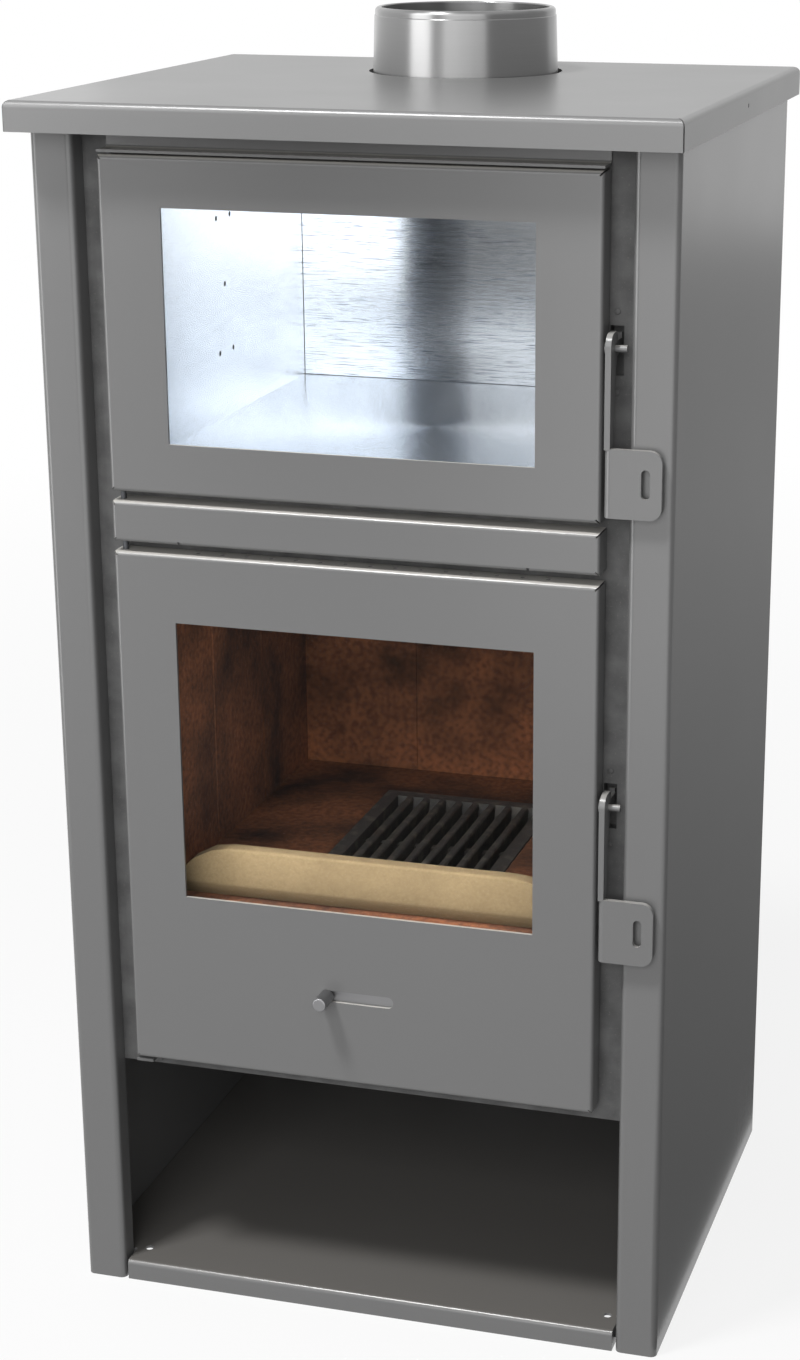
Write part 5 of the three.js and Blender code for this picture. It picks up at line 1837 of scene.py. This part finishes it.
@dataclass
class Studio:
    """A pale floor, soft lamps, reflection cards round the front and the camera."""

    floor_radius: float = 40.0
    floor_sides: int = 96
    floor_roughness: float = 0.9
    floor_seen: str = "#e0e0e0"
    floor_bounce: str = "#707070"
    fade: Pair = (0.7, 3.0)  # where the floor turns to plain white
    near_white: float = 0.85  # how much of the floor is plain white close to the stove
    ambient: float = 0.3
    aim: Triple = (0.0, 0.0, 0.5)
    lamps: tuple[Lamp, ...] = (
        Lamp("key_lamp", (-0.27, -0.40, 0.875), 3.6, 0.6, 0.75),
        Lamp("front_lamp", (0.0, -0.93, 0.36), 4.5, 2.6, 0.42),
    )
    ring_middle: Pair = (0.0, -0.2)
    ring_radius: float = 1.6
    ring_step: float = 1.0  # degrees
    cards: tuple[Card, ...] = (
        Card("left_card", (-150, -64), (0.5, 2.4), 1.3),
        Card("bright_card", (-64, -41), (0, 2.4), 5.2),
        Card("bright_top_card", (-41, -33), (0.8, 2.4), 5.0),
        Card("black_flag", (-25.2, -21.8), (0.3, 1.5), 0.01),
        Card("grey_card", (-21.8, -12), (0.3, 0.86), 0.12),
        Card("middle_card", (-21.8, -12), (0.86, 2.4), 1.0),
        Card("wide_card", (-11, 49), (0, 2.4), 2.1),
        Card("dark_card", (49, 148), (0, 2.4), 0.6),
    )
    # a dark sheet on the floor that only gloss and glass see: painted shade of the floor beside the
    # stove
    flag: tuple[Pair, Pair] = ((0.245, -0.5), (2.2, 6.0))  # its left front and right back corners
    flag_levels: Pair = (0.15, 0.42)  # at its near and its far end
    flag_reach: Pair = (0.1, 2.6)
    flag_height: float = 0.002
    eye: Triple = (0.6227, -2.0033, 1.1287)
    azimuth: float = 15.987  # degrees to the right of the front
    elevation: float = 18.463  # degrees down
    focal_length: float = 71.28  # in millimetres, as the film's width is
    film_width: float = 36.0
    film_shift: Pair = (-0.0659, 0.0402)
    sight: float = 200.0

    def seen_directly(self, tree: Tree) -> Socket:
        """Tell the rays of the camera, of gloss and of glass from the others.

        Args:
            tree: The tree of a material or of the world.

        Returns:
            A value that is 1 for those rays and 0 for the others.
        """
        path = add_node(tree, "ShaderNodeLightPath").node.outputs
        either = path["Is Camera Ray"]
        for kind in ("Is Transmission Ray", "Is Glossy Ray"):
            larger = {"operation": "MAXIMUM", 0: either, 1: path[kind]}
            either = add_node(tree, "ShaderNodeMath", larger)
        return either

    def background(self) -> None:
        """Light the room evenly, and show it white to the camera and in reflections."""
        world = bpy.data.worlds.new("room")
        bpy.context.scene.world = world
        tree = blank_tree(world)
        level = add_node(tree, RANGE, [self.seen_directly(tree), 0, 1, self.ambient, 1])
        light = add_node(tree, "ShaderNodeBackground", ["#ffffff", level])
        add_node(tree, "ShaderNodeOutputWorld", {"Surface": light})

    def floor(self) -> None:
        """Lay the floor, which fades to white away from the stove."""
        shape = bmesh.new()
        bmesh.ops.create_circle(
            shape, cap_ends=True, segments=self.floor_sides, radius=self.floor_radius
        )
        ground = held(plain(shape, "floor"), "floor")
        surface = bpy.data.materials.new("pale_floor")
        tree = blank_tree(surface)
        place = add_node(tree, "ShaderNodeTexCoord", output="Object")
        away = {"operation": "LENGTH", 0: place}
        distance = add_node(tree, "ShaderNodeVectorMath", away, "Value")
        far = add_node(tree, RANGE, [distance, *self.fade, self.near_white, 1])
        seen = self.seen_directly(tree)
        shade = {"data_type": "RGBA", 0: seen, 6: self.floor_bounce, 7: self.floor_seen}
        matt = {"Base Color": add_node(tree, MIX, shade, 2), "Roughness": self.floor_roughness}
        white = add_node(tree, "ShaderNodeEmission", ["#ffffff", 1.0])
        share = add_node(tree, "ShaderNodeMath", {"operation": "MULTIPLY", 0: seen, 1: far})
        mixed = [share, add_node(tree, PRINCIPLED, matt), white]
        shown = add_node(tree, "ShaderNodeMixShader", mixed)
        add_node(tree, "ShaderNodeOutputMaterial", {"Surface": shown})
        ground.data.materials.append(surface)

    def show_to_gloss(self, shape: bmesh.types.BMesh, name: str) -> Socket:
        """Set up a glowing card that only gloss and glass see.

        Args:
            shape: The card's mesh, which is used up.
            name: Its name.

        Returns:
            The input for how bright it looks.
        """
        card = held(plain(shape, name), name)
        surface = bpy.data.materials.new(name)
        tree = blank_tree(surface)
        glow = add_node(tree, "ShaderNodeEmission", ["#ffffff"])
        add_node(tree, "ShaderNodeOutputMaterial", {"Surface": glow})
        card.data.materials.append(surface)
        card.visible_camera = False
        card.visible_diffuse = False
        card.visible_shadow = False
        return glow.node.inputs["Strength"]

    def lay_shade_flag(self) -> None:
        """Lay a dark flag on the floor beside the stove, paler further back: painted shade of the
        floor there, seen only in gloss and glass.

        The right side is seen at a low angle, so that it mirrors this part of the floor.
        """
        shape = bmesh.new()
        corners = rectangle(*self.flag)
        shape.faces.new([shape.verts.new((*corner, self.flag_height)) for corner in corners])
        brightness = self.show_to_gloss(shape, "floor_flag")
        tree = brightness.id_data
        place = add_node(tree, "ShaderNodeTexCoord", output="Object")
        depth = add_node(tree, "ShaderNodeSeparateXYZ", [place], "Y")
        level = add_node(tree, RANGE, [depth, *self.flag_reach, *self.flag_levels])
        tree.links.new(level, brightness)

    def stand(self, card: Card) -> None:
        """Stand a curved card on the ring in front of the stove.

        Args:
            card: The card.
        """
        start, end = card.turn
        steps = math.ceil((end - start) / self.ring_step)
        shape = bmesh.new()
        columns = []
        for step in range(steps + 1):
            turn = math.radians(start + (end - start) * step / steps)
            x = self.ring_middle[0] + self.ring_radius * math.sin(turn)
            y = self.ring_middle[1] - self.ring_radius * math.cos(turn)
            columns.append([shape.verts.new((x, y, z)) for z in card.heights])
        for (near_foot, near_top), (far_foot, far_top) in zip(columns, columns[1:]):
            shape.faces.new((near_foot, far_foot, far_top, near_top))
        self.show_to_gloss(shape, card.name).default_value = card.level

    def camera(self) -> None:
        """Set up the camera at the viewing angle."""
        lens = bpy.data.cameras.new("camera")
        lens.lens = self.focal_length
        lens.sensor_width = self.film_width
        lens.shift_x, lens.shift_y = self.film_shift
        lens.clip_end = self.sight
        stand = bpy.data.objects.new("camera", lens)
        stand.location = self.eye
        tilt = math.pi / 2 - math.radians(self.elevation)
        stand.rotation_euler = (tilt, 0, math.radians(self.azimuth))
        bpy.context.scene.collection.objects.link(stand)
        bpy.context.scene.camera = stand

    def build(self) -> None:
        """Set up the room, the lamps and the camera."""
        self.camera()
        self.background()
        self.floor()
        for card in self.cards:
            self.stand(card)
        self.lay_shade_flag()
        for lamp in self.lamps:
            lamp.hang(Vector(self.aim))
        bpy.context.scene.view_settings.view_transform = "Standard"


def main() -> None:
    """Build the stove piece by piece, then the studio."""
    logging.basicConfig(level=logging.INFO, format="%(message)s")
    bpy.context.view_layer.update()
    parts = [
        BodyShell(),
        FlueCollar(),
        Front(),
        LogStore(),
        Oven(),
        Firebox(),
        GlazedDoor(),
        FireDoor(),
        LatchLever("oven", Body.OVEN_LEVER),
        LatchLever("fire", Body.FIRE_LEVER),
        AirSlider(),
        Studio(),
    ]
    for part in parts:
        log.info("building %s", type(part).__name__)
        part.build()


if __name__ == "__main__":
    main()
